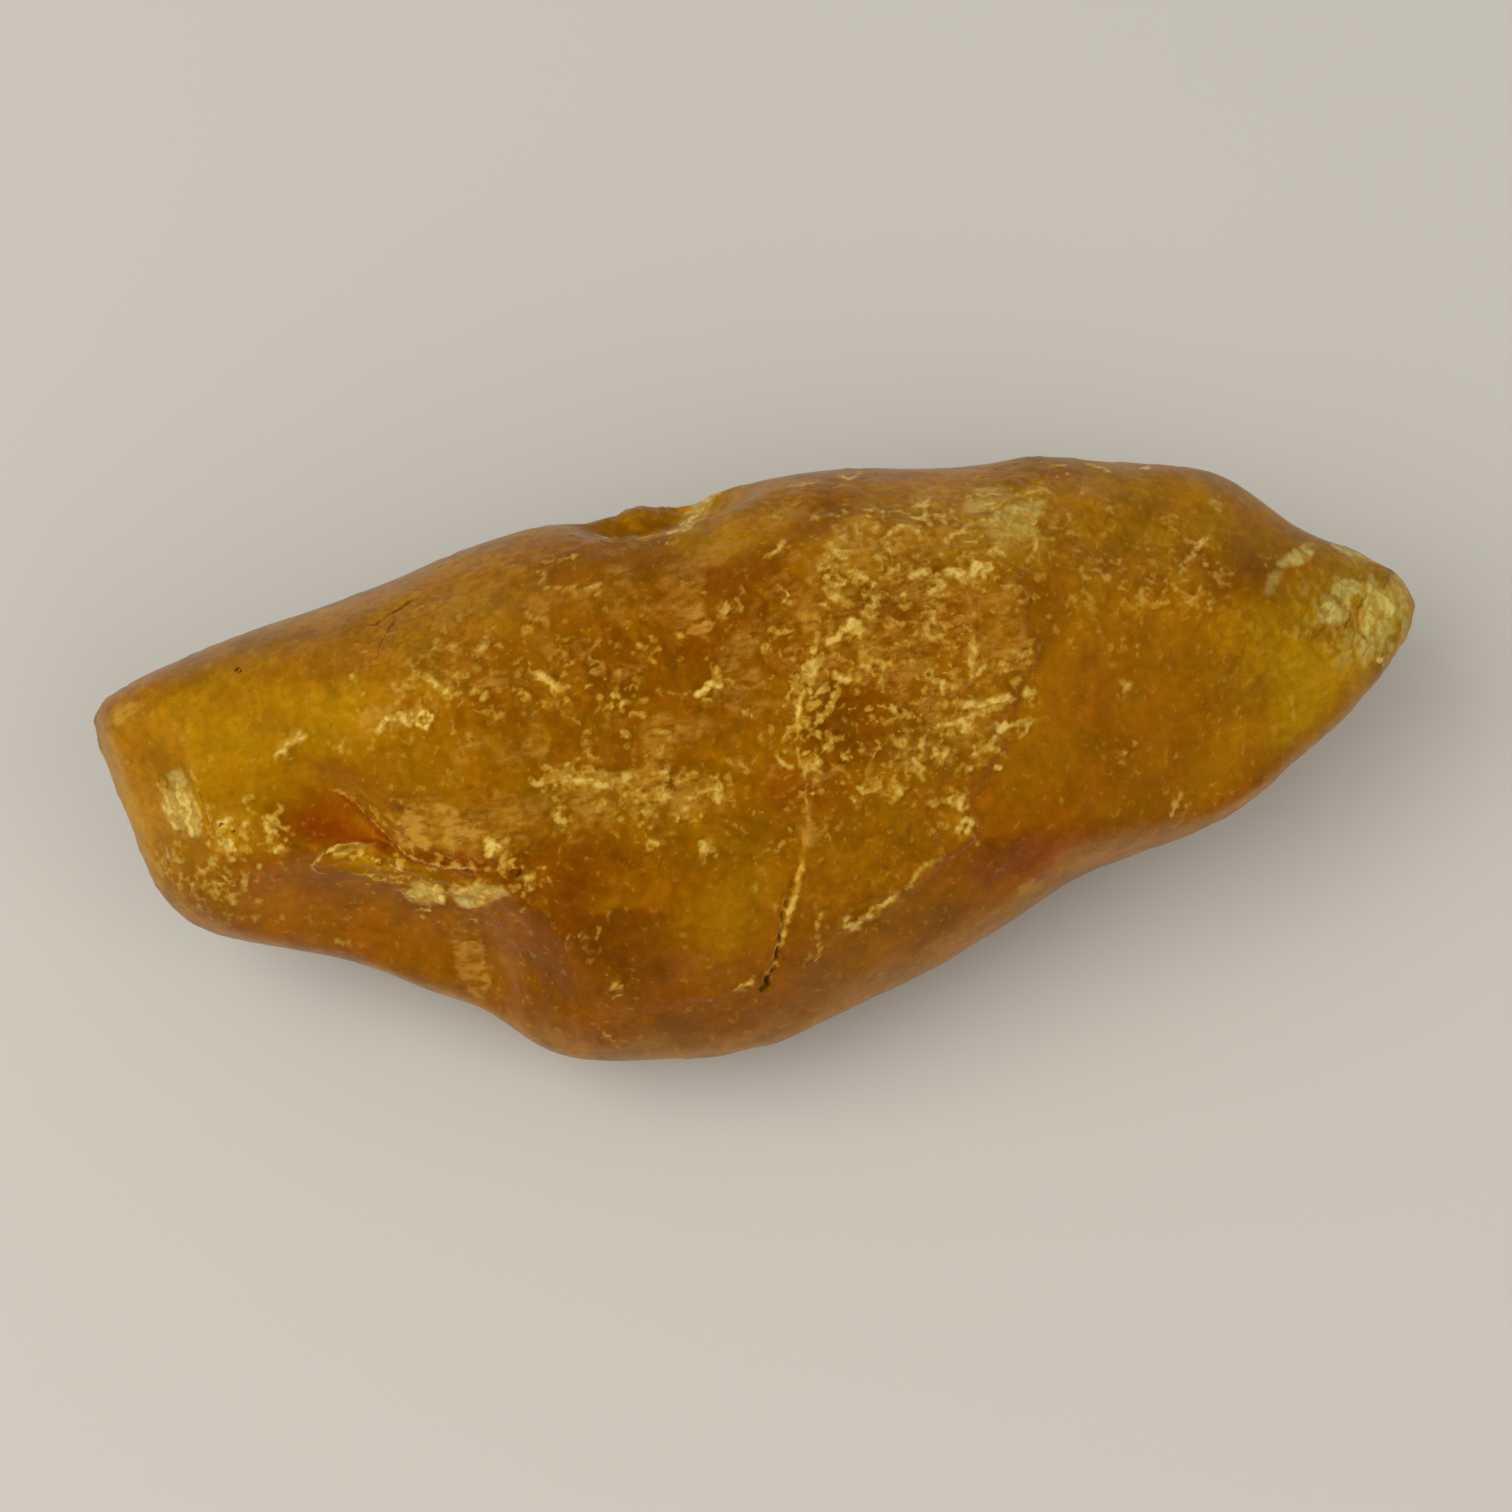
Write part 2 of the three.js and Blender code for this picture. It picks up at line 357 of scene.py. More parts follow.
# %% The lip over the red hollow, and the hollow's floor
LIP_HEIGHT = 0.2
HOLLOW_DEPTH = 0.12
SECOND_LIP_HEIGHT = 0.1
SECOND_LIP_GAP = 0.75
LIP = ((-19.3, 1.1), (-18.3, 0.4), (-17.6, -0.6), (-17.0, -1.6), (-16.2, -2.5), (-15.2, -3.1),
       (-13.6, -3.6), (-12.2, -4.0))
lip_gap, lip_side, lip_way = to_line(lump, LIP)
lip_ends = smooth(lip_way, 0.0, 0.2) * (1 - smooth(lip_way, 0.85, 1.0))
lip = np.where(lip_side > 0, 1 - smooth(lip_gap, 0.2, 2.0), 1 - smooth(lip_gap, 0.0, 0.3))
press(nugget, "lip", lip * lip_ends * lump.shown, LIP_HEIGHT)
under_lip = np.where(lip_side < 0, smooth(lip_gap, 0.05, 0.4) * (1 - smooth(lip_gap, 0.6, 2.2)), 0)
press(nugget, "under the lip", under_lip * lip_ends * lump.shown, -HOLLOW_DEPTH)
behind_lip = np.abs(np.where(lip_side > 0, lip_gap, -lip_gap) - SECOND_LIP_GAP)
second_lip = 1 - smooth(behind_lip, 0.05, 0.22)
press(nugget, "second lip", second_lip * lip_ends * lump.shown, SECOND_LIP_HEIGHT)
print("lips:", LIP_HEIGHT, "and", SECOND_LIP_HEIGHT, "mm high, hollow:", HOLLOW_DEPTH, "mm deep")

# %% [markdown]
# Below the hollow lies a ledge, a low bank of thin splinters side by side. A broad ridge makes the bank,
# and a wave across it, shaken by noise, makes the splinters.

# %% The ledge of splinters
LEDGE_HEIGHT = 0.24
SPLINTER_HEIGHT = 0.14
SPLINTER_WAVES = 14
LEDGE = ((-20.9, -2.2), (-19.4, -2.1), (-18.0, -2.4), (-16.9, -3.2), (-15.8, -4.1), (-14.4, -4.6),
         (-12.4, -4.9))
ledge_gap, ledge_side, ledge_way = to_line(lump, LEDGE)
ledge_across = np.where(ledge_side > 0, ledge_gap, -ledge_gap)
ledge = 1 - smooth(np.abs(ledge_across), 0.35, 0.95)
ledge *= smooth(ledge_way, 0.0, 0.1) * (1 - smooth(ledge_way, 0.9, 1.0)) * lump.shown
splinters = 0.5 + 0.5 * np.cos(ledge_across * SPLINTER_WAVES + 2.2 * grain(lump.places, 2.5, 2, 3.1))
press(nugget, "ledge", ledge, LEDGE_HEIGHT)
press(nugget, "splinters", ledge * splinters, SPLINTER_HEIGHT)
print("ledge:", int((ledge > 0.5).sum()), "vertices")

# %% [markdown]
# A crack runs from the middle of the crown to the near edge and opens on the way. Its two banks stand a
# little proud, because resin dries and curls beside a crack.

# %% The crack that runs to the near edge
BANK_HEIGHT = 0.1
CRACK_DEPTH = 0.35
CRACK = ((3.9, 4.4), (3.4, 3.0), (3.0, 1.6), (2.6, 0.4), (2.4, -1.2), (2.5, -2.8), (2.1, -4.4), (1.5, -5.9),
         (0.9, -7.4), (0.3, -8.6), (-0.1, -9.7), (-0.6, -10.6), (-1.1, -11.5))
crack_gap, _, crack_way = to_line(lump, CRACK)
crack_open = smooth(crack_way, 0.45, 0.95) * 0.8 + 0.2
crack = (1 - smooth(crack_gap, 0.02, 0.1 + 0.1 * crack_open)) * crack_open * lump.shown
banks = (1 - smooth(crack_gap, 0.2, 0.7)) * crack_open * lump.shown
press(nugget, "crack banks", banks, BANK_HEIGHT)
press(nugget, "crack", crack, -CRACK_DEPTH)
print("crack:", CRACK_DEPTH, "mm deep at most")

# %% [markdown]
# On the far edge an old break left a thin shelf that stands out, with a shallow scar on its near side. The
# shelf is pushed outwards, not left over by a cut, so that the outline beside it stays as it is.

# %% The shelf and the scar on the far edge
SCAR_DEPTH = 0.22
SHELVES = (
    # centre, half length and half width, turn in degrees, height
    ((-3.1, 11.8), (3.0, 1.7), -6, 0.75),
    ((1.0, 11.9), (1.4, 1.2), 10, 0.12),
)
for centre, radii, turn, height in SHELVES:
    shelf = 1 - smooth(to_patch(lump, centre, radii, turn), 0.35, 1.0)
    press(nugget, "shelf", shelf, height)
    lump.places = Skin(nugget).places
SCAR = ((-5.4, 10.5), (-4.3, 10.1), (-2.6, 10.1), (-1.3, 10.2), (-0.5, 10.6), (0.2, 11.3))
scar_gap, scar_side, scar_way = to_line(lump, SCAR)
scar = np.where(scar_side > 0, smooth(scar_gap, 0.0, 0.2) * (1 - smooth(scar_gap, 0.4, 1.0)), 0)
scar *= smooth(scar_way, 0, 0.15) * (1 - smooth(scar_way, 0.85, 1)) * lump.shown
press(nugget, "scar", scar, -SCAR_DEPTH)
print("shelves:", len(SHELVES), "and a scar", SCAR_DEPTH, "mm deep")

# %% [markdown]
# The rest of the relief is the crust's own roughness. Old amber dries into small plates that lift and
# flake, so a cloudy noise is cut into terraces: flat tops with short steep sides. It's strongest on the
# crust, weak on the bare resin, and it also covers the back and the underside in patches.

# %% Plates and pits in the crust
TERRACE_HEIGHT = 0.05
PIT_DEPTH = 0.045
crust_inside = np.where(edge_side < 0, smooth(edge_gap, -0.2, 0.5), 0.0)
left_fade = smooth(lump.along, -19, -12)
crust = crust_inside * left_fade * lump.shown
back_noise = grain(lump.places, 7.0, 2, 91.0)
back_crust = smooth(back_noise, -0.05, 0.35) * (1 - lump.shown) * smooth(lump.height, 0.5, 1.5)
rough = np.clip(crust + back_crust, 0, 1)
plates = grain(lump.places, 0.95, 4, 5.5)
terraces = 0.5 * smooth(plates, -0.15, 0.0) + 0.5 * smooth(plates, 0.2, 0.35)
press(nugget, "terraces", terraces * (0.12 + 0.88 * rough), TERRACE_HEIGHT)
pits = smooth(grain(lump.places, 0.6, 3, 71.0), 0.3, 0.5)
press(nugget, "pits", pits * (0.15 + 0.85 * rough), -PIT_DEPTH)
print("crust covers", round(100 * float((rough > 0.5).mean())), "% of the skin")

# %% [markdown]
# ## Flecks
# Where the crust has lifted, thin curls and grains of pale dry resin catch the light. They could be a
# pattern in the shader, but then they would have no shape of their own, so they are drawn on the skin and
# pressed out too. The brush paints soft round dabs, one beside the next, as a brush stroke does. A search
# tree finds the vertices near a place quickly, and a second one finds the vertex at a point of the crown.

# %% A brush that draws on the skin
DAB_SPACING = 0.09
finder = kdtree.KDTree(len(lump.places))
for index, place in enumerate(lump.places):
    finder.insert(place, index)
finder.balance()

flat_finder = kdtree.KDTree(len(lump.places))
for index in np.flatnonzero(lump.shown > 0.05):
    flat_finder.insert((straight_along[index], straight_across[index], 0), int(index))
flat_finder.balance()


def dab(layer, place, half_width, strength):
    """Paints a soft round dab into a layer of weights."""
    for _, index, gap in finder.find_range(place, half_width * 1.6):
        weight = strength * (1 - smooth(gap, half_width * 0.5, half_width * 1.6))
        layer[index] = max(layer[index], weight)


def on_skin(along, across):
    """The place on the crown that the marks' axes give these numbers to."""
    return Vector(lump.places[flat_finder.find((along, across, 0))[1]])


def draw_line(layer, points, half_width, strength):
    """Draws a line through points on the crown with round dabs."""
    for (a0, b0), (a1, b1) in zip(points[:-1], points[1:]):
        steps = max(1, math.ceil(math.hypot(a1 - a0, b1 - b0) / DAB_SPACING))
        for step_number in range(steps + 1):
            share = step_number / steps
            place = on_skin(a0 + (a1 - a0) * share, b0 + (b1 - b0) * share)
            dab(layer, place, half_width, strength)


# %% [markdown]
# The flecks that stand out are listed one by one, each as a short line on the crown with a half width in
# millimetres and a strength from 0 to 1. A strong fleck comes out cream, a weak one tan. They are grouped
# by where they are. Those on the scar's far edge and one dot in the middle are painted highlights.

# %% The flecks that stand out
FLECKS = (
    # points, half width, strength
    # the crackled patch by the blunt end
    (((-26.9, 2.2), (-26.8, 1.6), (-26.9, 1.0), (-26.7, 0.6)), 0.15, 0.9),
    (((-26.3, 2.1), (-26.2, 1.6), (-26.0, 1.9)), 0.17, 1.0),
    (((-26.6, 1.3), (-26.3, 1.35)), 0.12, 0.9),
    (((-26.0, 2.0), (-25.9, 1.4), (-26.1, 0.9), (-26.0, 0.1)), 0.15, 1.0),
    (((-25.7, 1.7), (-25.5, 1.1), (-25.5, 0.4)), 0.09, 0.8),
    (((-26.5, 0.6), (-26.1, 0.6)), 0.12, 0.8),
    (((-26.3, 2.8), (-25.6, 3.0), (-25.4, 2.7)), 0.14, 0.5),
    (((-27.0, 2.4), (-26.9, 2.3)), 0.12, 0.9),
    # small ones between that patch and the hollow
    (((-24.7, 0.45), (-24.1, 0.5)), 0.11, 0.9),
    (((-24.5, 0.2), (-24.1, 0.1)), 0.1, 0.6),
    (((-22.6, 0.0), (-22.4, -0.4)), 0.12, 1.0),
    (((-24.8, -0.5), (-24.4, -0.9)), 0.12, 0.7),
    (((-24.3, -0.5), (-24.2, -0.9)), 0.12, 0.9),
    (((-22.3, -1.3), (-21.9, -1.2)), 0.12, 0.9),
    (((-25.9, -1.6), (-25.4, -1.7)), 0.12, 0.6),
    (((-25.6, -2.3), (-25.0, -2.4)), 0.1, 0.7),
    (((-27.7, -1.3), (-27.9, -1.9)), 0.2, 0.4),
    # the two pale ridges above the hollow
    (((-21.3, 3.1), (-20.9, 3.5), (-20.3, 3.8)), 0.16, 0.9),
    (((-21.2, 2.8), (-21.1, 3.1)), 0.12, 0.6),
    (((-18.65, 2.9), (-18.55, 2.95)), 0.12, 0.8),
    (((-16.6, 3.4), (-16.2, 3.8), (-16.0, 3.9)), 0.12, 0.9),
    (((-15.5, 3.95), (-15.4, 3.6)), 0.13, 1.0),
    (((-15.2, 3.4), (-14.9, 3.5)), 0.15, 0.7),
    (((-14.85, 3.45), (-14.65, 3.8), (-14.3, 3.85), (-14.1, 3.5), (-14.3, 3.15), (-14.65, 3.15),
      (-14.85, 3.45)), 0.09, 1.0),
    (((-15.0, 5.1), (-14.7, 5.1)), 0.12, 0.8),
    (((-14.1, 5.4), (-13.7, 5.0), (-13.3, 4.6), (-13.0, 4.7)), 0.18, 0.75),
    (((-13.1, 4.3), (-12.8, 4.4)), 0.12, 0.6),
    # scattered curls on the left part of the crust
    (((-11.5, 6.0), (-11.2, 6.3)), 0.16, 0.7),
    (((-11.1, 6.6), (-10.8, 6.9)), 0.14, 0.6),
    (((-9.0, 4.6), (-8.6, 4.4), (-8.2, 4.0), (-8.0, 3.8)), 0.16, 0.8),
    (((-8.9, 3.4), (-8.4, 3.2), (-8.0, 2.6), (-7.4, 2.1)), 0.11, 0.45),
    (((-7.8, 9.7), (-7.0, 9.6), (-6.3, 9.7)), 0.13, 0.6),
    (((-8.0, 9.3), (-7.8, 8.5), (-6.6, 8.3), (-5.6, 7.9)), 0.11, 0.55),
    (((-5.9, 8.1), (-5.5, 8.2)), 0.15, 0.7),
    (((-13.8, 8.7), (-13.0, 8.6)), 0.13, 0.5),
    (((-12.0, 11.0), (-11.6, 10.7)), 0.15, 0.5),
    (((-8.4, 11.4), (-7.8, 11.3)), 0.12, 0.6),
    # the scar's bright edge on the far side: painted highlights where the edge catches the light
    (((-5.1, 10.5), (-4.6, 10.25), (-4.2, 10.1)), 0.14, 1.0),
    (((-3.3, 10.05), (-2.4, 10.05)), 0.14, 1.0),
    (((-1.8, 10.0), (-1.1, 10.05), (-0.7, 10.2)), 0.16, 1.0),
    (((-1.0, 10.1), (-0.5, 10.5), (0.1, 11.1), (0.6, 11.4)), 0.26, 0.9),
    # the middle
    (((-1.9, 2.4), (-1.5, 2.5), (-1.1, 2.8), (-0.7, 2.7)), 0.13, 0.95),
    (((-6.3, 4.2), (-6.1, 4.3)), 0.11, 0.7),
    (((-5.35, 2.6), (-5.25, 2.65)), 0.11, 0.8),
    (((-5.8, 2.7), (-5.75, 2.5)), 0.1, 0.6),
    (((-4.7, 3.3), (-4.5, 3.3)), 0.11, 0.5),
    (((-1.5, 7.6), (-1.3, 7.6)), 0.11, 0.5),
    # a painted highlight: a cream dot where the crust catches the light
    (((0.1, 6.05), (0.25, 6.15)), 0.14, 1.0),
    (((-3.9, 1.0), (-3.5, 0.9), (-3.5, 0.6)), 0.14, 0.6),
    (((-4.2, 0.1), (-3.9, 0.2)), 0.18, 0.6),
    (((-5.5, 1.4), (-5.3, 1.0)), 0.11, 0.6),
    # the crusty ridge left of the middle
    (((-10.0, -0.3), (-9.5, -0.4), (-9.0, -0.2), (-8.2, -0.3)), 0.11, 0.7),
    (((-8.0, -0.6), (-7.3, -0.7), (-6.8, -1.0)), 0.16, 0.8),
    (((-7.2, -0.5), (-6.6, -0.5)), 0.11, 0.6),
    (((-6.1, -1.3), (-5.8, -1.6)), 0.14, 0.6),
    (((-5.5, -1.5), (-5.0, -1.8)), 0.13, 0.6),
    (((-4.3, -1.85), (-4.1, -1.95)), 0.17, 0.85),
    (((-9.15, -2.0), (-9.05, -2.25)), 0.18, 0.7),
    (((-2.3, -1.6), (-1.6, -1.9)), 0.14, 0.5),
    (((-3.0, -2.2), (-2.4, -2.1)), 0.14, 0.5),
    (((-5.1, -3.8), (-4.9, -4.1)), 0.14, 0.6),
    (((-5.7, -3.0), (-5.0, -3.2)), 0.18, 0.45),
    (((-2.8, -4.8), (-2.6, -4.5), (-2.4, -4.7)), 0.15, 0.8),
    (((-2.4, -4.3), (-2.3, -5.0)), 0.1, 0.5),
    # the lip over the red hollow
    (((-19.0, 1.0), (-18.2, 0.3), (-17.6, -0.6), (-17.0, -1.5), (-16.3, -2.5), (-15.5, -3.0),
      (-14.2, -3.4), (-13.0, -3.7)), 0.06, 0.6),
    (((-17.6, 0.1), (-17.2, -0.8), (-16.3, -1.6), (-15.6, -2.4), (-14.4, -2.9)), 0.06, 0.5),
    # splinters on the ledge
    (((-20.8, -2.3), (-20.2, -1.8), (-19.4, -1.6), (-18.6, -1.75)), 0.07, 0.85),
    (((-19.7, -1.9), (-19.2, -2.0), (-18.8, -1.9)), 0.07, 0.8),
    (((-18.9, -2.1), (-18.2, -2.3), (-17.6, -2.6)), 0.07, 0.75),
    (((-20.6, -2.5), (-19.5, -2.6), (-18.3, -2.9), (-17.0, -3.3), (-16.3, -3.5)), 0.07, 0.65),
    (((-18.0, -3.2), (-17.5, -3.3)), 0.08, 0.8),
    (((-18.3, -3.0), (-17.2, -3.5), (-16.3, -3.7)), 0.06, 0.65),
    (((-16.75, -3.0), (-16.6, -3.05)), 0.14, 1.0),
    # the two pale blocks at the ledge's end, and what lies round them
    (((-16.9, -3.9), (-16.7, -4.5)), 0.12, 0.7),
    (((-15.4, -4.4), (-15.1, -4.1), (-15.0, -4.8)), 0.15, 1.0),
    (((-16.4, -4.3), (-16.1, -4.6)), 0.16, 0.95),
    (((-16.4, -5.1), (-15.7, -5.3)), 0.08, 0.8),
    (((-14.2, -4.6), (-13.6, -4.5)), 0.18, 0.8),
    (((-13.3, -5.2), (-13.0, -4.8), (-12.6, -4.9)), 0.17, 0.8),
    (((-13.5, -3.4), (-13.2, -3.9)), 0.14, 0.5),
    (((-12.6, -3.1), (-12.4, -2.7), (-12.2, -3.0)), 0.18, 0.95),
    (((-12.9, -2.2), (-12.7, -2.2)), 0.1, 0.5),
    (((-11.1, -4.5), (-10.8, -4.6)), 0.15, 0.7),
    (((-11.4, -5.4), (-11.1, -4.7)), 0.09, 0.5),
    (((-14.6, -5.3), (-14.4, -5.9), (-13.6, -6.1), (-12.6, -5.8)), 0.06, 0.45),
    # the valley and the belly below
    (((-14.7, -7.0), (-13.9, -7.1)), 0.1, 0.5),
    (((-13.9, -8.3), (-13.7, -9.0)), 0.1, 0.4),
    (((-8.5, -7.9), (-8.2, -7.5)), 0.1, 0.5),
    (((-9.9, -7.9), (-9.5, -7.5), (-9.1, -7.8)), 0.1, 0.4),
    (((-8.0, -10.1), (-7.8, -10.1)), 0.17, 0.7),
    (((-8.9, -12.1), (-8.4, -12.7)), 0.08, 0.6),
    (((-2.3, -11.2), (-1.7, -11.1)), 0.15, 0.8),
    (((-22.5, -4.3), (-22.6, -4.7)), 0.1, 0.4),
    (((-19.95, -6.0), (-19.8, -6.05)), 0.12, 0.6),
    (((-19.6, -4.9), (-19.4, -5.1)), 0.12, 0.5),
    # the crack's pale bank and its branch
    (((1.7, -6.1), (1.2, -7.2), (0.7, -8.1), (0.3, -8.9), (0.0, -9.5), (-0.4, -10.5), (-0.8, -11.0)),
     0.12, 0.75),
    (((2.3, -3.9), (2.2, -4.6), (1.9, -5.1)), 0.22, 0.4),
    (((2.8, 1.2), (2.5, 0.2), (2.3, -0.8), (2.3, -1.7)), 0.08, 0.5),
    (((2.4, -2.0), (2.4, -2.9), (2.3, -3.7)), 0.11, 0.6),
    (((1.9, -7.9), (2.0, -8.6), (1.8, -9.4), (1.8, -9.9), (1.5, -10.7)), 0.12, 0.6),
    # the step that ends the crust
    (((7.9, -7.0), (7.2, -7.1), (6.7, -7.5), (6.2, -8.0)), 0.12, 0.65),
    (((5.6, -8.3), (5.0, -8.6), (4.6, -8.8)), 0.13, 0.8),
    (((3.0, -9.2), (3.6, -9.4), (4.2, -9.0)), 0.18, 0.8),
    (((9.0, -5.9), (9.4, -5.4), (9.7, -5.6), (9.4, -6.0)), 0.13, 0.85),
    (((9.15, -4.55), (9.3, -4.6)), 0.15, 1.0),
    (((7.8, -5.8), (8.4, -5.6)), 0.26, 0.4),
    (((10.2, -2.6), (10.9, -2.3), (11.4, -1.9)), 0.13, 0.8),
    (((11.7, -1.7), (12.0, -1.4)), 0.17, 0.9),
    (((8.6, -2.0), (8.8, -2.6)), 0.15, 0.7),
    (((9.0, -0.9), (9.6, -0.9), (10.3, -0.8)), 0.11, 0.8),
    (((10.2, -0.1), (11.0, -0.3), (11.8, -0.2), (12.3, -0.1)), 0.15, 0.9),
    (((10.5, -0.5), (11.1, -0.7), (12.0, -0.5)), 0.12, 0.75),
    (((9.0, 1.75), (9.15, 1.5), (8.95, 1.25), (8.75, 1.5), (9.0, 1.75)), 0.1, 0.7),
    (((9.1, 1.2), (9.6, 1.0), (9.9, 0.7)), 0.12, 0.8),
    (((12.8, 1.9), (13.2, 1.6), (13.7, 1.7)), 0.15, 0.65),
    (((12.6, 1.3), (12.8, 1.1)), 0.13, 0.6),
    # the crack's upper end
    (((2.6, 0.5), (2.7, 0.9), (2.9, 1.4), (3.1, 1.7)), 0.12, 0.95),
    (((3.5, 2.1), (3.7, 2.6), (4.0, 3.0)), 0.19, 0.85),
    (((3.7, 3.3), (4.1, 3.8), (4.2, 4.3)), 0.12, 0.7),
    (((4.2, 3.1), (4.8, 3.2)), 0.1, 0.6),
    (((3.6, 0.3), (4.1, 0.7), (4.7, 1.5)), 0.15, 0.75),
    (((5.7, 4.2), (5.9, 4.5), (6.2, 4.0)), 0.17, 1.0),
    (((5.6, 5.6), (5.9, 5.2)), 0.15, 0.6),
    (((6.0, 2.4), (6.1, 3.0), (6.3, 2.3)), 0.13, 0.7),
    (((8.2, 3.1), (8.5, 3.0)), 0.12, 0.6),
    (((7.0, 0.3), (7.3, -0.3)), 0.12, 0.7),
    (((3.65, -1.0), (3.8, -1.0)), 0.12, 0.8),
    (((5.6, -2.9), (5.8, -3.2)), 0.14, 0.6),
    (((0.2, 1.3), (0.5, 1.1)), 0.1, 0.7),
    # the far part of the crust
    (((8.6, 8.4), (9.2, 8.4), (9.6, 8.1)), 0.15, 0.9),
    (((5.9, 9.0), (6.0, 8.2)), 0.14, 0.6),
    (((6.8, 9.2), (6.9, 8.4)), 0.1, 0.7),
    (((5.6, 7.8), (6.5, 7.7), (7.4, 7.6), (7.7, 7.1)), 0.13, 0.6),
    (((2.4, 8.2), (3.1, 8.3), (3.4, 8.8)), 0.13, 0.7),
    (((11.85, 5.85), (12.1, 6.1)), 0.2, 1.0),
    (((10.6, 6.0), (11.0, 5.9), (11.3, 5.5)), 0.19, 0.9),
    (((11.2, 5.4), (11.8, 5.7)), 0.15, 0.9),
    (((13.2, 8.5), (13.8, 8.8), (14.6, 8.9), (15.6, 9.0), (15.9, 8.7)), 0.17, 0.7),
    (((13.1, 7.4), (13.6, 7.1), (14.4, 6.9), (15.0, 6.8)), 0.2, 0.6),
    (((13.7, 8.0), (14.5, 7.7), (15.1, 7.3)), 0.16, 0.55),
    (((11.8, 7.9), (12.6, 8.1)), 0.1, 0.6),
    (((10.6, 8.7), (10.9, 8.6)), 0.13, 0.8),
    (((11.25, 8.8), (11.4, 8.75)), 0.12, 0.8),
    (((4.0, 11.2), (4.7, 11.2), (5.2, 11.1)), 0.16, 0.8),
    (((6.5, 11.3), (7.0, 11.0), (7.4, 11.3)), 0.16, 0.85),
    (((16.2, 10.0), (16.9, 9.9)), 0.12, 0.8),
    (((17.9, 9.8), (18.4, 9.6), (18.8, 9.3)), 0.15, 0.95),
    (((20.3, 9.2), (20.7, 9.15)), 0.16, 1.0),
    # the bare right part
    (((17.3, 8.4), (17.6, 8.7)), 0.12, 0.7),
    (((18.3, 7.7), (18.7, 7.6)), 0.12, 0.6),
    (((23.3, 7.0), (23.5, 6.9)), 0.22, 0.85),
    (((19.9, 4.9), (20.4, 4.6)), 0.14, 0.6),
    (((21.6, 4.6), (22.0, 4.8)), 0.12, 0.7),
    (((22.2, 5.1), (22.7, 5.5)), 0.13, 0.85),
    (((21.2, 4.0), (21.5, 4.3)), 0.1, 0.7),
    (((22.2, 3.4), (21.8, 2.9), (21.5, 2.7)), 0.1, 0.6),
    (((17.7, -0.9), (18.0, -0.7), (18.1, -0.6)), 0.15, 0.7),
    (((17.2, -3.65), (17.4, -3.75)), 0.15, 0.7),
    (((18.9, -7.0), (19.2, -6.4), (19.6, -6.0)), 0.13, 0.6),
    (((19.0, -7.5), (19.2, -7.2), (19.8, -6.6)), 0.12, 0.5),
    (((29.6, -1.5), (29.8, -1.45)), 0.13, 1.0),
)

# %% [markdown]
# Each fleck gets a few loose crumbs beside it, because a bare line looks drawn. The broad ones also get a
# frosty halo, which is a layer of its own and comes into the film later.

# %% Draw the flecks and their halos
FLECK_SPREAD = 1.1
HALO_FROM = 0.1
chance = random.Random(7)
flecks = np.zeros(len(lump.places))
halo = np.zeros(len(lump.places))
for points, half_width, strength in FLECKS:
    draw_line(flecks, points, half_width * FLECK_SPREAD, strength)
    if half_width > HALO_FROM:
        draw_line(halo, points, 0.15 + half_width * 1.6, 0.75 * strength)
    for _ in range(round(1 + 5 * half_width / 0.15)):
        along, across = chance.choice(points)
        crumb = (along + chance.gauss(0, 0.3), across + chance.gauss(0, 0.3))
        dab(flecks, on_skin(*crumb), chance.uniform(0.08, 0.17), strength * chance.uniform(0.3, 0.9))
print(len(FLECKS), "flecks placed by hand")

# %% [markdown]
# Hundreds of smaller flecks are scattered over oval patches. Each is a short curl that wanders over the
# skin. They come from a fixed seed, so that they come out the same each time.

# %% The flecks that are scattered
STRIDE = 0.11
SCATTER = (
    # where, how many, longest, strongest
    (((7.5, 1.5), (6.5, 6.5), 0), 270, 1.1, 0.8),
    (((10.5, 7.5), (6.0, 2.6), 0), 160, 1.2, 0.8),
    (((4.0, 9.5), (4.0, 1.6), 0), 30, 0.8, 0.6),
    (((-12.5, 5.0), (5.5, 3.2), 0), 130, 0.9, 0.6),
    (((-5.5, -1.4), (4.8, 1.5), -14), 130, 0.8, 0.7),
    (((-4.0, 5.0), (6.0, 4.0), 0), 130, 0.8, 0.55),
    (((2.0, -4.0), (5.5, 4.0), 0), 80, 0.8, 0.45),
    (((-14.0, -3.6), (4.0, 1.5), -14), 90, 0.8, 0.6),
    (((-15.5, 1.2), (3.0, 2.0), 0), 40, 0.7, 0.4),
    (((-4.0, -9.0), (8.0, 3.5), 0), 30, 0.7, 0.35),
    (((18.5, 4.6), (5.5, 3.6), 0), 170, 1.1, 0.55),
    (((19.0, -3.0), (7.0, 4.0), 0), 70, 0.9, 0.4),
    (((25.5, 2.0), (2.6, 2.6), 0), 50, 0.9, 0.45),
    (((29.0, 0.8), (2.6, 2.4), 0), 40, 0.7, 0.5),
    (((-24.6, -1.0), (3.4, 2.4), 0), 130, 0.6, 0.65),
    (((-25.8, -2.6), (2.6, 1.6), -40), 60, 0.6, 0.6),
    (((-22.0, -4.0), (5.5, 2.0), -20), 40, 0.6, 0.35),
    (((-12.5, -8.0), (3.5, 2.5), 0), 35, 0.7, 0.35),
)


def wander(layer, place, length, half_width, strength):
    """Draws a short curling line that keeps to the skin."""
    heading = Vector((chance.gauss(0, 1), chance.gauss(0, 1), chance.gauss(0, 1)))
    curl = chance.gauss(0, 0.28)
    for _ in range(max(1, round(length / STRIDE))):
        _, index, _ = finder.find(place)
        normal = Vector(lump.normals[index])
        heading = (heading - normal * heading.dot(normal)).normalized()
        heading.rotate(Matrix.Rotation(curl + chance.gauss(0, 0.25), 3, normal))
        place = Vector(lump.places[index]) + STRIDE * heading
        dab(layer, place, half_width * chance.uniform(0.7, 1.3), strength)


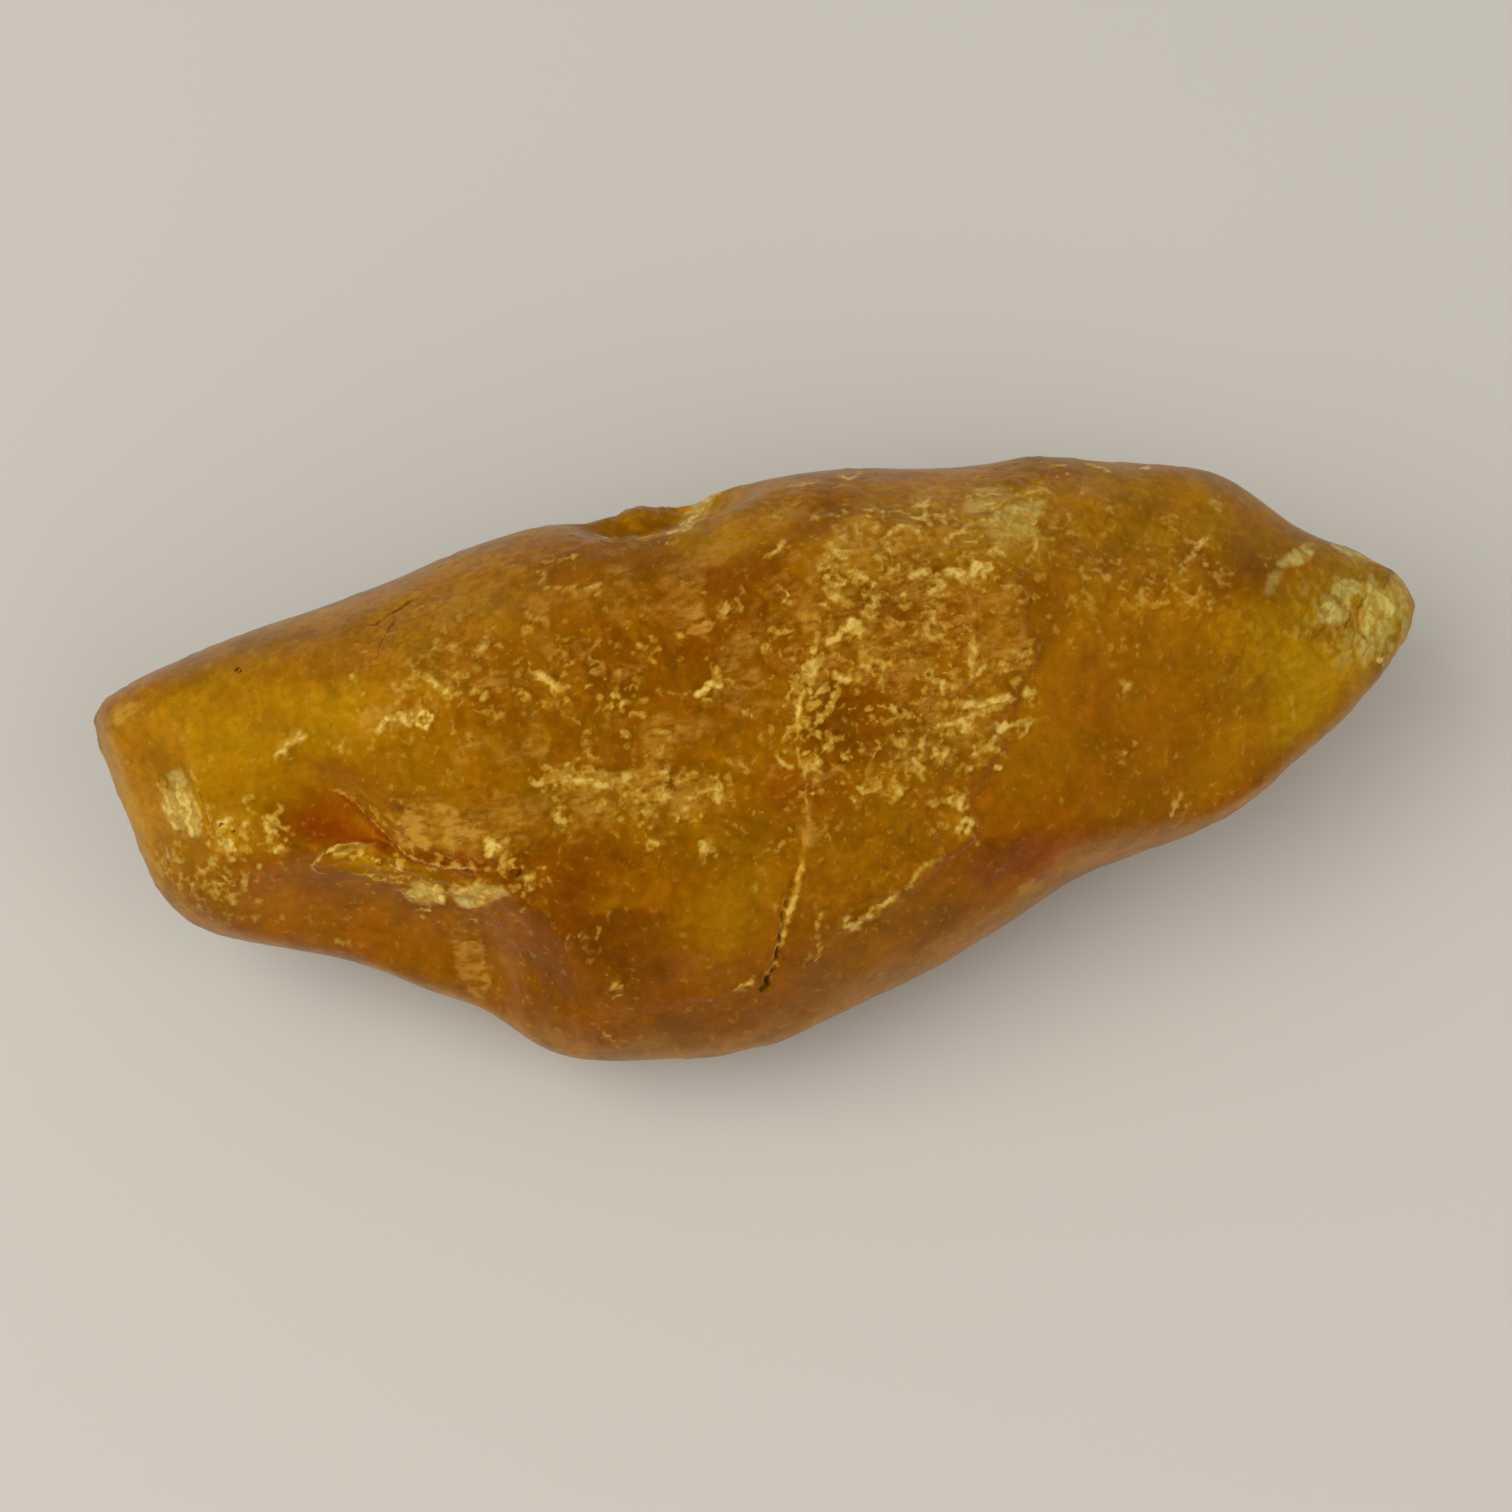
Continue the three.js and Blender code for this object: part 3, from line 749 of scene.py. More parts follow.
for (centre, radii, turn), count, longest, strongest in SCATTER:
    angle = math.radians(turn)
    for _ in range(count):
        reach = math.sqrt(chance.random())
        way = chance.uniform(0, 2 * math.pi)
        long_way = radii[0] * reach * math.cos(way)
        short_way = radii[1] * reach * math.sin(way)
        start = on_skin(centre[0] + long_way * math.cos(angle) - short_way * math.sin(angle),
                        centre[1] + long_way * math.sin(angle) + short_way * math.cos(angle))
        length = 0.15 + (longest - 0.15) * chance.random() ** 1.5
        wander(flecks, start, length, chance.uniform(0.08, 0.18), strongest * chance.uniform(0.3, 1.05))
print(sum(row[1] for row in SCATTER), "flecks scattered on the crown")

# %% [markdown]
# The back and the underside get flecks as well, thickest where their crust patches are. Then all the
# flecks are pressed out, with noise that leaves their tops uneven.

# %% The hidden flecks, and the relief of all of them
HIDDEN_FLECKS = 520
FLECK_HEIGHT = 0.06
hidden = np.flatnonzero((lump.shown < 0.05) & (lump.height > 0.6))
for _ in range(HIDDEN_FLECKS):
    index = int(chance.choice(hidden))
    strongest = 0.45 + 0.45 * float(back_crust[index])
    wander(flecks, Vector(lump.places[index]), 0.2 + 0.9 * chance.random() ** 2, chance.uniform(0.12, 0.2),
           strongest * chance.uniform(0.4, 1.0))
uneven = 0.4 + 0.6 * smooth(grain(lump.places, 0.35, 2, 29.0), -0.2, 0.3)
press(nugget, "flecks", flecks * uneven, FLECK_HEIGHT)
print("flecks cover", round(100 * float((flecks > 0.3).mean()), 1), "% of the skin")

# %% [markdown]
# The finest crumbs are too small for the net of vertices. They are dust: a layer here says how thick it
# lies, and the shader breaks it up into specks.

# %% Where the dust lies
dust = np.zeros(len(lump.places))
for (centre, radii, turn), count, longest, strongest in SCATTER:
    near = 1 - smooth(to_patch(lump, centre, radii, turn), 0.6, 1.15)
    dust = np.maximum(dust, near * strongest)
dust = np.maximum(np.maximum(0.22, 0.6 * dust) * lump.shown, 0.24 + 0.3 * back_crust)
print("dust lies", round(float(dust.mean()), 2), "thick on average")

# %% [markdown]
# ## Layers of colour
# The resin's colour changes slowly over the lump: clear yellow at the blunt end's shoulder, honey brown in
# the middle, red brown where it is thickest or stained, olive yellow at the point. Each hue gets a few soft
# oval patches, and a vertex colour holds their blend. The alternative, one noise for the whole lump, would
# put no hue where this nugget has it.

# %% Hues in soft patches
HUES = {
    "honey": (0.615, 0.375, 0.015),
    "yellow": (0.74, 0.52, 0.03),
    "ochre": (0.77, 0.53, 0.07),
    "brown": (0.54, 0.275, 0.006),
    "red": (0.57, 0.23, 0.012),
    "olive": (0.75, 0.57, 0.03),
    "amber": (0.66, 0.38, 0.01),
    "straw": (0.80, 0.68, 0.28),
    "umber": (0.47, 0.22, 0.006),
}
HUE_PATCHES = (
    # hue, centre, half length and half width, turn in degrees, strength
    ("yellow", (-23.0, 5.0), (6.5, 4.2), 15, 1.6),
    ("yellow", (-26.3, 1.0), (3.2, 4.0), 0, 1.8),
    ("ochre", (-14.0, 7.8), (5.5, 2.8), 8, 2.2),
    ("red", (-20.1, -0.35), (2.3, 1.2), -8, 3.0),
    ("red", (-17.9, -1.3), (1.5, 0.65), -48, 3.0),
    ("yellow", (-17.8, -2.7), (2.4, 0.6), -24, 2.0),
    ("red", (-14.0, -3.1), (3.0, 0.45), -14, 1.6),
    ("amber", (-21.5, -4.4), (6.5, 2.4), -22, 2.4),
    ("amber", (-14.5, -6.0), (3.6, 1.2), -20, 1.6),
    ("umber", (-9.2, -6.9), (3.2, 2.4), -10, 2.2),
    ("brown", (-6.5, -10.2), (7.0, 2.6), 0, 1.3),
    ("yellow", (-2.8, -8.6), (2.6, 2.2), 0, 1.1),
    ("yellow", (1.7, 10.3), (2.6, 1.5), 10, 4.0),
    ("yellow", (6.3, 7.6), (2.0, 1.4), 0, 1.1),
    ("olive", (13.8, 7.6), (3.2, 2.0), 20, 1.0),
    ("brown", (0.5, 5.0), (3.5, 3.5), 0, 0.8),
    ("umber", (5.6, 0.0), (3.0, 1.9), 0, 3.0),
    ("brown", (8.0, 3.0), (4.5, 3.5), 0, 0.7),
    ("red", (2.8, -2.8), (2.0, 1.6), 0, 0.9),
    ("brown", (-4.0, 3.0), (5.0, 3.6), 0, 1.0),
    ("brown", (-8.0, -5.2), (4.0, 2.2), -15, 2.8),
    ("honey", (4.5, -6.5), (3.0, 2.6), 20, 0.9),
    ("red", (12.0, -7.0), (3.6, 2.0), 18, 1.1),
    ("brown", (15.5, -5.0), (4.0, 2.0), 15, 0.6),
    ("ochre", (10.0, 9.2), (4.5, 1.8), 5, 1.6),
    # painted reflection: a pale straw strip along the blunt end's edge, for light off its flat facet
    ("straw", (-28.9, 2.0), (0.8, 4.2), 9, 0.6),
    ("amber", (17.0, -1.5), (6.5, 5.0), 0, 0.6),
    ("ochre", (19.0, 4.5), (3.5, 3.0), 0, 0.7),
    ("yellow", (21.0, 7.6), (5.5, 2.4), -18, 3.0),
    ("olive", (26.0, -1.0), (3.4, 3.8), 0, 1.6),
    ("olive", (29.3, 1.0), (2.8, 2.8), 0, 2.2),
    ("straw", (31.2, 1.3), (0.8, 1.2), 0, 1.2),
    ("straw", (-26.3, 1.2), (0.8, 1.3), 0, 1.6),
)
print("hues:", len(HUE_PATCHES), "patches of", len(HUES), "hues")

# %% [markdown]
# The blend starts as a thin coat of honey all over. A patch adds its hue with a weight that falls off from
# its middle, and noise shakes its rim, so that no oval shows. The reds of the hollow stop at the lip. The
# hidden side takes its hues from noise. Where the crown turns away from the camera, a painted yellow glow
# stands in for the light that shines through its thin rim.

# %% Blend the hues
def linear(colour):
    """A screen colour from 0 to 1 as the linear one that the shader reckons with."""
    return [c / 12.92 if c <= 0.04045 else ((c + 0.055) / 1.055) ** 2.4 for c in colour]


BASE_COAT = 0.55
PAINTED_RIM_GLOW = 1.3
HOLLOW_ENDS = -15
ragged_hue = 0.3 * grain(lump.places, 1.6, 4, 23.0)
below_lip = smooth(np.where(lip_side > 0, -lip_gap, lip_gap), -0.2, 0.1)
seen = smooth(lump.facing, -0.1, 0.05)
blend = np.full(len(lump.along), BASE_COAT)
tint = blend[:, None] * np.array(linear(HUES["honey"]))
for hue, centre, radii, turn, strength in HUE_PATCHES:
    nearness = np.maximum(to_patch(lump, centre, radii, turn) + ragged_hue, 0)
    weight = strength * np.exp(-1.6 * nearness ** 2.6) * seen
    if hue == "red" and centre[0] < HOLLOW_ENDS:
        weight *= below_lip
    tint += weight[:, None] * np.array(linear(HUES[hue]))
    blend += weight
# painted glow: yellow where the crown turns away from the camera, standing in for light through the thin
# rim
rim = PAINTED_RIM_GLOW * (1 - smooth(lump.facing, 0.15, 0.6)) * seen
tint += rim[:, None] * np.array(linear(HUES["yellow"]))
blend += rim
away = 1 - seen
drift = grain(lump.places, 9.0, 2, 33.0)
HIDDEN_HUES = (
    ("yellow", 1.4 * smooth(drift, -0.05, 0.4)),
    ("brown", smooth(-drift, 0.05, 0.4)),
    ("red", 0.8 * smooth(grain(lump.places, 6.0, 2, 133.0), 0.15, 0.5)),
)
for hue, weight in HIDDEN_HUES:
    tint += (weight * away)[:, None] * np.array(linear(HUES[hue]))
    blend += weight * away
tint /= blend[:, None]
print("average tint:", [round(float(c), 3) for c in tint.mean(axis=0)])

# %% [markdown]
# Resin is cloudy inside, so brightness and greenness wander a little. Next to each pale fleck the skin is
# darker, because the fleck's edge stands up and shades it. Blurring the flecks and taking the flecks
# themselves away leaves just those rims.

# %% Clouds, and the shade beside the flecks
RIM_SHADE = 0.5
clouding = 1.0 + 0.3 * grain(lump.places, 2.6, 3, 17.0) + 0.2 * grain(lump.places, 0.9, 3, 53.0)
greening = 1.0 + 0.14 * grain(lump.places, 1.9, 3, 87.0)
tint *= np.column_stack([clouding, clouding * greening, clouding])


def spread(piece, values, times):
    """Blurs a layer by averaging it with its neighbours a few times."""
    ends = np.empty(len(piece.data.edges) * 2, dtype=np.int32)
    piece.data.edges.foreach_get("vertices", ends)
    first, second = ends.reshape(-1, 2).T
    neighbours = np.maximum(np.bincount(ends, minlength=len(values)), 1)
    for _ in range(times):
        total = np.bincount(first, values[second], len(values))
        total = total + np.bincount(second, values[first], len(values))
        values = 0.5 * values + 0.5 * total / neighbours
    return values


shade = np.clip(2.4 * spread(nugget, flecks, 5) - 1.6 * flecks, 0, 1)
shade *= smooth(grain(lump.places, 0.7, 3, 67.0), -0.3, 0.2)
tint *= (1 - RIM_SHADE * shade)[:, None]
print("shaded rims cover", round(100 * float((shade > 0.2).mean()), 1), "% of the skin")

# %% [markdown]
# A film of dried skin lies on the resin in places, like frost on glass. It's listed in oval patches too. A
# strength above 1 keeps a patch whole where the noise would break it up. The dry crust has a thin film of
# its own, and so has the frosty halo of every broad fleck. The thin strip along the blunt end's edge is no
# film but a painted reflection of the light off the end's flat facet.

# %% Where the film lies
def patchwork(patches, low, high, rim=0.0):
    """A layer made of oval patches with soft rims. Where patches overlap, the stronger one counts."""
    layer = np.zeros(len(lump.along))
    for centre, radii, turn, strength in patches:
        inside = 1 - smooth(to_patch(lump, centre, radii, turn) + rim, low, high)
        layer = np.maximum(layer, strength * inside)
    return layer


FILMS = (
    # centre, half length and half width, turn in degrees, strength
    ((-14.8, -1.5), (2.6, 1.2), -25, 1.05),
    ((-1.15, 6.2), (0.75, 0.42), -5, 1.6),
    ((-1.1, 5.4), (0.8, 0.28), 8, 1.4),
    ((-14.3, -8.0), (0.9, 2.2), 5, 0.75),
    # painted reflection: a pale strip along the blunt end's edge, for light off its flat facet
    ((-28.9, 2.0), (0.7, 4.6), 9, 0.75),
    ((-28.2, 6.2), (0.9, 0.45), 30, 0.9),
    ((-5.0, -1.6), (4.2, 1.2), -16, 0.55),
    ((-11.0, 4.7), (1.2, 0.45), 0, 0.6),
    ((-16.3, 3.7), (2.4, 0.8), 3, 0.7),
    ((-0.3, -7.0), (0.8, 1.1), -15, 0.65),
    ((2.2, -4.8), (0.6, 1.2), -10, 0.6),
    ((2.2, 5.0), (0.7, 0.4), 0, 0.6),
    ((8.5, 3.0), (5.5, 4.5), 0, 0.5),
    ((12.5, 2.8), (1.8, 2.6), 0, 0.55),
    ((11.5, 7.5), (4.5, 2.2), 0, 0.5),
    ((4.8, 5.0), (1.6, 1.6), 0, 0.6),
    ((24.0, 6.6), (0.5, 0.35), 0, 0.8),
    ((26.9, 3.8), (1.1, 0.35), 22, 0.8),
    ((31.3, 1.4), (0.5, 1.3), 10, 0.8),
    ((12.0, -9.1), (1.0, 0.4), 10, 0.6),
    ((-12.0, 9.0), (3.0, 2.0), 0, 0.4),
    ((-13.4, -4.8), (1.4, 0.6), -10, 0.75),
    ((-15.9, -4.4), (1.1, 0.65), -15, 0.9),
    ((-0.3, 10.6), (0.9, 0.5), 38, 0.7),
)
ragged = 0.35 * grain(lump.places, 0.9, 4, 3.0)
film = patchwork(FILMS, 0.6, 1.1, ragged) * seen
dry = crust * smooth(lump.across, -5.0, -2.5) + back_crust * away
film = np.maximum(film, 0.5 * dry * smooth(grain(lump.places, 2.4, 3, 61.0), -0.1, 0.4))
film *= 0.4 + 0.6 * smooth(grain(lump.places, 0.8, 4, 7.0), -0.3, 0.15)
film = np.maximum(np.minimum(film, 1), 0.7 * halo * smooth(grain(lump.places, 0.5, 3, 19.0), -0.3, 0.2))
print(len(FILMS), "films, and", round(100 * float((halo > 0.3).mean()), 1), "% of the skin in halos")

# %% [markdown]
# The crust dries into plates about a millimetre wide. Voronoi cells give the plates their outlines, and a
# number drawn for each cell says which ones have lifted and gone pale. A few spots are bare again.

# %% Lifted plates and bare spots
def cell_draw(point):
    """A number from 0 to 1 that is the same all over a cell, worked out from the cell's point."""
    return (point.x * 3.7 + point.y * 5.3 + point.z * 7.1) % 1.0


PLATE = 1.0
shaken = lump.places + 0.25 * grain(lump.places, 0.7, 2, 5.0)[:, None]
cells = [noise.voronoi(place / PLATE) for place in shaken]
plate_gap = np.array([gaps[1] - gaps[0] for gaps, _ in cells])
plate_luck = np.array([cell_draw(points[0]) for _, points in cells])
plates_lifted = smooth(plate_gap, 0.05, 0.2) * smooth(plate_luck, 0.62, 0.9)
film = np.maximum(film, 0.42 * plates_lifted * dry * smooth(grain(lump.places, 0.45, 2, 9.0), -0.4, 0.1))

BARE_SPOTS = (
    ((5.5, 0.2), (2.2, 1.4), 0),
    ((-8.0, -5.3), (3.0, 1.6), -15),
    ((3.6, -6.2), (2.0, 1.6), 20),
    ((-3.0, 3.2), (1.8, 1.2), 0),
    ((-2.6, -8.8), (5.0, 3.0), 0),
    ((-13.5, 3.0), (2.0, 0.9), 0),
    ((1.9, 10.4), (2.2, 1.3), 8),
    ((21.0, 7.6), (4.0, 2.0), -18),
)
for centre, radii, turn in BARE_SPOTS:
    film *= 0.15 + 0.85 * smooth(to_patch(lump, centre, radii, turn), 0.6, 1.15)
print("film covers", round(100 * float((film > 0.3).mean())), "% of the skin")

# %% [markdown]
# Hairline cracks and a few pits are dark. They are short, so each is drawn with the brush and pressed in.

# %% Dark lines
DARK_LINE_DEPTH = 0.12
DARK_LINES = (
    # points, half width, strength
    (((-16.0, 8.2), (-15.2, 8.6), (-14.0, 9.1)), 0.05, 0.6),
    (((-16.2, 6.6), (-15.8, 7.5), (-15.1, 8.2)), 0.05, 0.55),
    (((-17.0, 7.9), (-16.2, 8.3)), 0.05, 0.4),
    (((-25.4, 2.0), (-25.2, 1.2), (-25.2, 0.4)), 0.06, 0.6),
    (((-24.75, 0.3), (-24.55, 0.35)), 0.08, 0.8),
    (((-24.2, -0.15), (-24.0, -0.05)), 0.08, 0.8),
    (((-22.7, 7.3), (-22.6, 7.25)), 0.1, 1.0),
    (((-28.2, 4.0), (-28.1, 3.6)), 0.1, 0.5),
    (((-11.5, -4.45), (-11.3, -4.2)), 0.09, 0.8),
    (((-1.2, -11.6), (-0.8, -11.1)), 0.14, 1.0),
    (((-12.4, 0.9), (-11.4, 0.7)), 0.05, 0.3),
    (((28.1, 1.75), (28.8, 0.85), (28.3, 0.15)), 0.09, 0.5),
    (((29.7, 1.65), (29.1, 1.05), (28.95, 0.05), (29.4, -0.7), (29.0, -1.1)), 0.1, 0.5),
    (((30.7, 1.2), (30.5, 0.3), (30.1, -0.7)), 0.07, 0.35),
    (((24.0, 1.2), (24.9, 0.9), (25.2, 0.5)), 0.06, 0.35),
    (((22.8, 0.5), (22.9, -0.3)), 0.05, 0.3),
    (((26.6, 1.2), (26.5, 0.2)), 0.05, 0.4),
    (((8.85, 1.5), (9.0, 1.45)), 0.07, 0.7),
    (((-18.9, 3.95), (-18.7, 4.0)), 0.07, 0.5),
    (((2.4, -3.0), (2.5, -2.4)), 0.1, 0.5),
)
cracks = np.zeros(len(lump.along))
for points, half_width, strength in DARK_LINES:
    draw_line(cracks, points, half_width, strength)
press(nugget, "dark lines", cracks, -DARK_LINE_DEPTH)
cracks = np.maximum(cracks, 0.9 * crack * smooth(crack_way, 0.35, 0.8))
print(len(DARK_LINES), "dark lines")

# %% [markdown]
# At its two ends the skin is crazed: a net of fine cracks, as in old varnish. The net itself is left to the
# shader, which draws sharper lines than the vertices can. The layer says where it is and how strong.

# %% Where the skin is crazed
CRAZED = (
    # centre, half length and half width, turn in degrees, strength
    ((29.0, 0.8), (3.0, 2.6), 0, 0.8),
    ((-26.3, 1.3), (1.0, 1.7), 0, 1.0),
    ((-14.0, 7.5), (4.5, 2.8), 0, 0.6),
    ((14.0, 7.6), (2.4, 1.6), 10, 0.7),
    ((23.5, 0.5), (4.6, 3.4), 0, 0.5),
    ((18.5, 5.0), (4.0, 3.5), 0, 0.5),
    ((-22.0, 6.0), (5.0, 2.5), 10, 0.25),
    ((5.0, -6.5), (3.5, 2.5), 0, 0.35),
)
crazed = patchwork(CRAZED, 0.6, 1.2) * seen
crazed = np.maximum(crazed, 0.5 * away * smooth(grain(lump.places, 5.0, 2, 77.0), 0.1, 0.5))
print("crazed skin:", round(100 * float((crazed > 0.3).mean())), "%")

# %% [markdown]
# Inside the crazed skin, lifted cells get a painted gleam: a pale straw colour stands in for the light that
# the air under them reflects. The gleam follows the cells of the plates, so that it ends at their cracks.

# %% Painted gleams on lifted cells
PAINTED_GLEAMS = (
    # centre, half length and half width, turn in degrees, strength
    ((28.0, 1.1), (0.8, 0.7), 0, 1.0),
    ((28.75, 1.9), (0.8, 0.42), 0, 0.9),
    ((29.95, 0.5), (0.75, 1.4), -10, 1.0),
    ((30.9, 1.2), (0.5, 1.1), 0, 0.6),
    ((28.95, -0.5), (0.36, 0.45), 0, 0.8),
    ((28.95, -1.35), (0.3, 0.5), 0, 0.7),
    ((26.8, 3.9), (0.95, 0.4), 22, 0.8),
    ((25.4, 2.9), (0.6, 0.25), 35, 0.6),
    ((29.4, 3.6), (1.3, 0.3), -30, 0.8),
    ((-26.4, 1.4), (0.55, 1.1), 5, 1.0),
    ((-25.8, 1.1), (0.3, 1.1), 5, 0.7),
    ((-26.3, 2.7), (0.4, 0.5), 0, 0.6),
    ((13.9, 7.7), (1.5, 0.8), 15, 0.65),
    ((12.9, 9.0), (1.2, 0.5), 15, 0.5),
    ((-0.3, 10.75), (1.1, 0.4), 42, 0.8),
    ((-13.3, -4.85), (0.95, 0.5), -10, 0.75),
    ((-15.9, -4.45), (0.95, 0.5), -12, 0.9),
    ((-18.8, -1.9), (1.2, 0.12), -4, 0.35),
)
painted_gleam = patchwork(PAINTED_GLEAMS, 0.8, 1.15, ragged)
painted_gleam *= (0.65 + 0.35 * smooth(plate_gap, 0.03, 0.22)) * (0.6 + 0.4 * plate_luck) * seen
painted_gleam *= 0.35 + 0.65 * smooth(grain(lump.places, 0.6, 3, 39.0), -0.3, 0.1)
# a fainter painted gleam on part of the cells at the pointed end
tip_painted_gleam = (1 - smooth(to_patch(lump, (29.3, 0.9), (3.2, 3.4), 0), 0.4, 1.1)) * seen
painted_gleam = np.maximum(painted_gleam, 0.45 * tip_painted_gleam * smooth(plate_gap, 0.03, 0.2) * smooth(plate_luck, 0.3, 0.8))
print(len(PAINTED_GLEAMS), "gleams")

# %% [markdown]
# The layers are stored on the mesh as point attributes, which the shader reads by name. They travel with
# the mesh, whatever happens to the object.

# %% Keep the layers on the mesh
def keep_layer(piece, name, values):
    """Stores one number a vertex under a name that the finish can read."""
    layer = piece.data.attributes.new(name, "FLOAT", "POINT")
    layer.data.foreach_set("value", np.ascontiguousarray(values, dtype=np.float32))


LAYERS = {"flecks": flecks, "film": film, "cracks": cracks, "crazed": crazed, "dust": dust, "painted_gleam": painted_gleam}
for name, values in LAYERS.items():
    keep_layer(nugget, name, values)
tint_layer = nugget.data.attributes.new("tint", "FLOAT_COLOR", "POINT")
tint_layer.data.foreach_set("color", np.column_stack([tint, np.ones(len(tint))]).astype(np.float32).ravel())
print("layers:", [layer.name for layer in nugget.data.attributes if layer.domain == "POINT"])

# %% [markdown]
# The skin work may have left the underside a hair above or below the table, so every vertex near it is put
# on the table exactly.

# %% The flat under the nugget
FLAT_REACH = 0.03
bottom = Skin(nugget)
sunk = bottom.height < FLAT_REACH
places = bottom.places.copy()
places[sunk, 2] = 0.0
nugget.data.vertices.foreach_set("co", (places * MM).ravel())
nugget.data.update()
print("flat under the nugget:", int(sunk.sum()), "vertices")

# %% [markdown]
# ## The finish
# One shader covers the nugget. Half of it is rough glass with absorption, which gives the see-through
# depth, and the other half scatters light under the skin, which gives the milky glow. All that changes over
# the skin is colour, roughness and bump. A few helpers keep the node work short.

# %% Helpers for nodes
def fill(tree, socket, value):
    """Links a socket to another one, or gives it a plain value."""
    if isinstance(value, bpy.types.NodeSocket):
        tree.links.new(value, socket)
    else:
        socket.default_value = value


def add(tree, kind, settings=None, **inputs):
    """Adds a node and fills its inputs, which are named (_ for a space) or numbered n0, n1 and so on."""
    made = tree.nodes.new(kind)
    for name, value in (settings or {}).items():
        setattr(made, name, value)
    for name, value in inputs.items():
        numbered = name[0] == "n" and name[1:].isdigit()
        key = int(name[1:]) if numbered else name.replace("_", " ")
        fill(tree, made.inputs[key], value)
    return made


def ramp(tree, value, low, high):
    """A soft step of a value between low and high."""
    return add(tree, "ShaderNodeMapRange", {"interpolation_type": "SMOOTHSTEP"},
               Value=value, From_Min=low, From_Max=high).outputs["Result"]


def reckon(tree, how, first, second):
    """A Math node with two inputs."""
    return add(tree, "ShaderNodeMath", {"operation": how}, n0=first, n1=second).outputs[0]


def layer_of(tree, name):
    """The node that reads a layer kept on the mesh."""
    return add(tree, "ShaderNodeAttribute", {"attribute_name": name})


def mix_colours(tree, share, first, second, how="MIX"):
    """A Mix node for colours. A Mix node has inputs of every kind, and its colours are numbers 6 and 7."""
    settings = {"data_type": "RGBA", "blend_type": how}
    return add(tree, "ShaderNodeMix", settings, n0=share, n6=first, n7=second).outputs[2]


def tinted(tree, colour, factors):
    """A colour with its red, green and blue multiplied by three factors."""
    return mix_colours(tree, 1.0, colour, (*factors, 1), "MULTIPLY")


def cloud(tree, place, size, detail=3.0, roughness=0.5, distortion=0.0):
    """Noise with lumps of this size in mm."""
    return add(tree, "ShaderNodeTexNoise", None, Vector=place, Scale=1 / (size * MM), Detail=detail,
               Roughness=roughness, Distortion=distortion).outputs["Fac"]


# %% [markdown]
# The resin's own colour comes from the layer of hues. A fine grain makes it darker and paler by turns, so
# that it looks like matter and not like paint. The grain is noise on Object coordinates, so it stays in the
# resin however the nugget is turned.

# %% The resin's colour
DARKER = (0.82, 0.78, 0.72)
PALER = (1.14, 1.18, 1.35)
amber = bpy.data.materials.new("honey amber")
amber.use_nodes = True
tree = amber.node_tree
shader = tree.nodes["Principled BSDF"]
place = add(tree, "ShaderNodeTexCoord").outputs["Object"]
hue_layer = layer_of(tree, "tint").outputs["Color"]
fine_grain = cloud(tree, place, 0.42, 4.0, 0.65)
grain_share = ramp(tree, fine_grain, 0.28, 0.72)
colour = mix_colours(tree, grain_share, tinted(tree, hue_layer, DARKER), tinted(tree, hue_layer, PALER))
print("resin colour: the hues times", DARKER, "to", PALER)

# %% [markdown]
# The film is frosty and lies in streaks along the nugget. Squeezing the place along one axis before it goes
# into the noise stretches the noise that way. The painted gleams are paler and cover the resin almost
# completely.

# %% Film and painted gleams
FROST = (*linear((0.86, 0.65, 0.26)), 1)
PAINTED_GLEAM_STRAW = (*linear((1.0, 0.97, 0.56)), 1)
STREAK = (0.3, 1, 1)
FILM_COVER = 0.78
PAINTED_GLEAM_COVER = 0.95
lengthwise = add(tree, "ShaderNodeVectorMath", {"operation": "MULTIPLY"}, n0=place, n1=STREAK).outputs[0]
streaks = cloud(tree, lengthwise, 0.25, 3.0, 0.6)
film_value = reckon(tree, "MULTIPLY", layer_of(tree, "film").outputs["Fac"], ramp(tree, streaks, 0.2, 0.62))
film_value = reckon(tree, "ADD", film_value, reckon(tree, "MULTIPLY", fine_grain, 0.4))
film_share = ramp(tree, film_value, 0.22, 1.1)
colour = mix_colours(tree, reckon(tree, "MULTIPLY", film_share, FILM_COVER), colour, FROST)
painted_gleam_share = reckon(tree, "MULTIPLY", layer_of(tree, "painted_gleam").outputs["Fac"], PAINTED_GLEAM_COVER)
# painted reflection: the pale straw gleam goes into the base colour
colour = mix_colours(tree, painted_gleam_share, colour, PAINTED_GLEAM_STRAW)
print("film covers up to", FILM_COVER, "and gleams up to", PAINTED_GLEAM_COVER)

# %% [markdown]
# Crazing is a net of dark lines. Voronoi cells put a line where two cells meet, and adding noise to the
# place bends the lines, which would be straight otherwise.

# %% Crazing
CRAZING_CELL = 1.1
CRAZING_SHADE = (0.5, 0.42, 0.35)
warp = reckon(tree, "MULTIPLY", fine_grain, 0.6 * MM)
bend = add(tree, "ShaderNodeCombineXYZ", None, X=warp, Y=warp, Z=warp).outputs[0]
bent = add(tree, "ShaderNodeVectorMath", {"operation": "ADD"}, n0=place, n1=bend).outputs[0]
crazing = add(tree, "ShaderNodeTexVoronoi", {"feature": "DISTANCE_TO_EDGE"}, Vector=bent,
              Scale=1 / (CRAZING_CELL * MM))
crazing_line = ramp(tree, crazing.outputs["Distance"], 0.1, 0.02)
crazed_share = reckon(tree, "MULTIPLY", layer_of(tree, "crazed").outputs["Fac"], crazing_line)
crazed_share = reckon(tree, "MULTIPLY", crazed_share, 0.6)
colour = mix_colours(tree, crazed_share, colour, tinted(tree, colour, CRAZING_SHADE))
print("crazing has cells of", CRAZING_CELL, "mm")

# %% [markdown]
# Dust breaks up into worm-like crumbs where a noise passes its middle value. It joins the flecks, holes of
# another noise are taken out of both, and what is left is tan where it is thin and cream where it is thick.

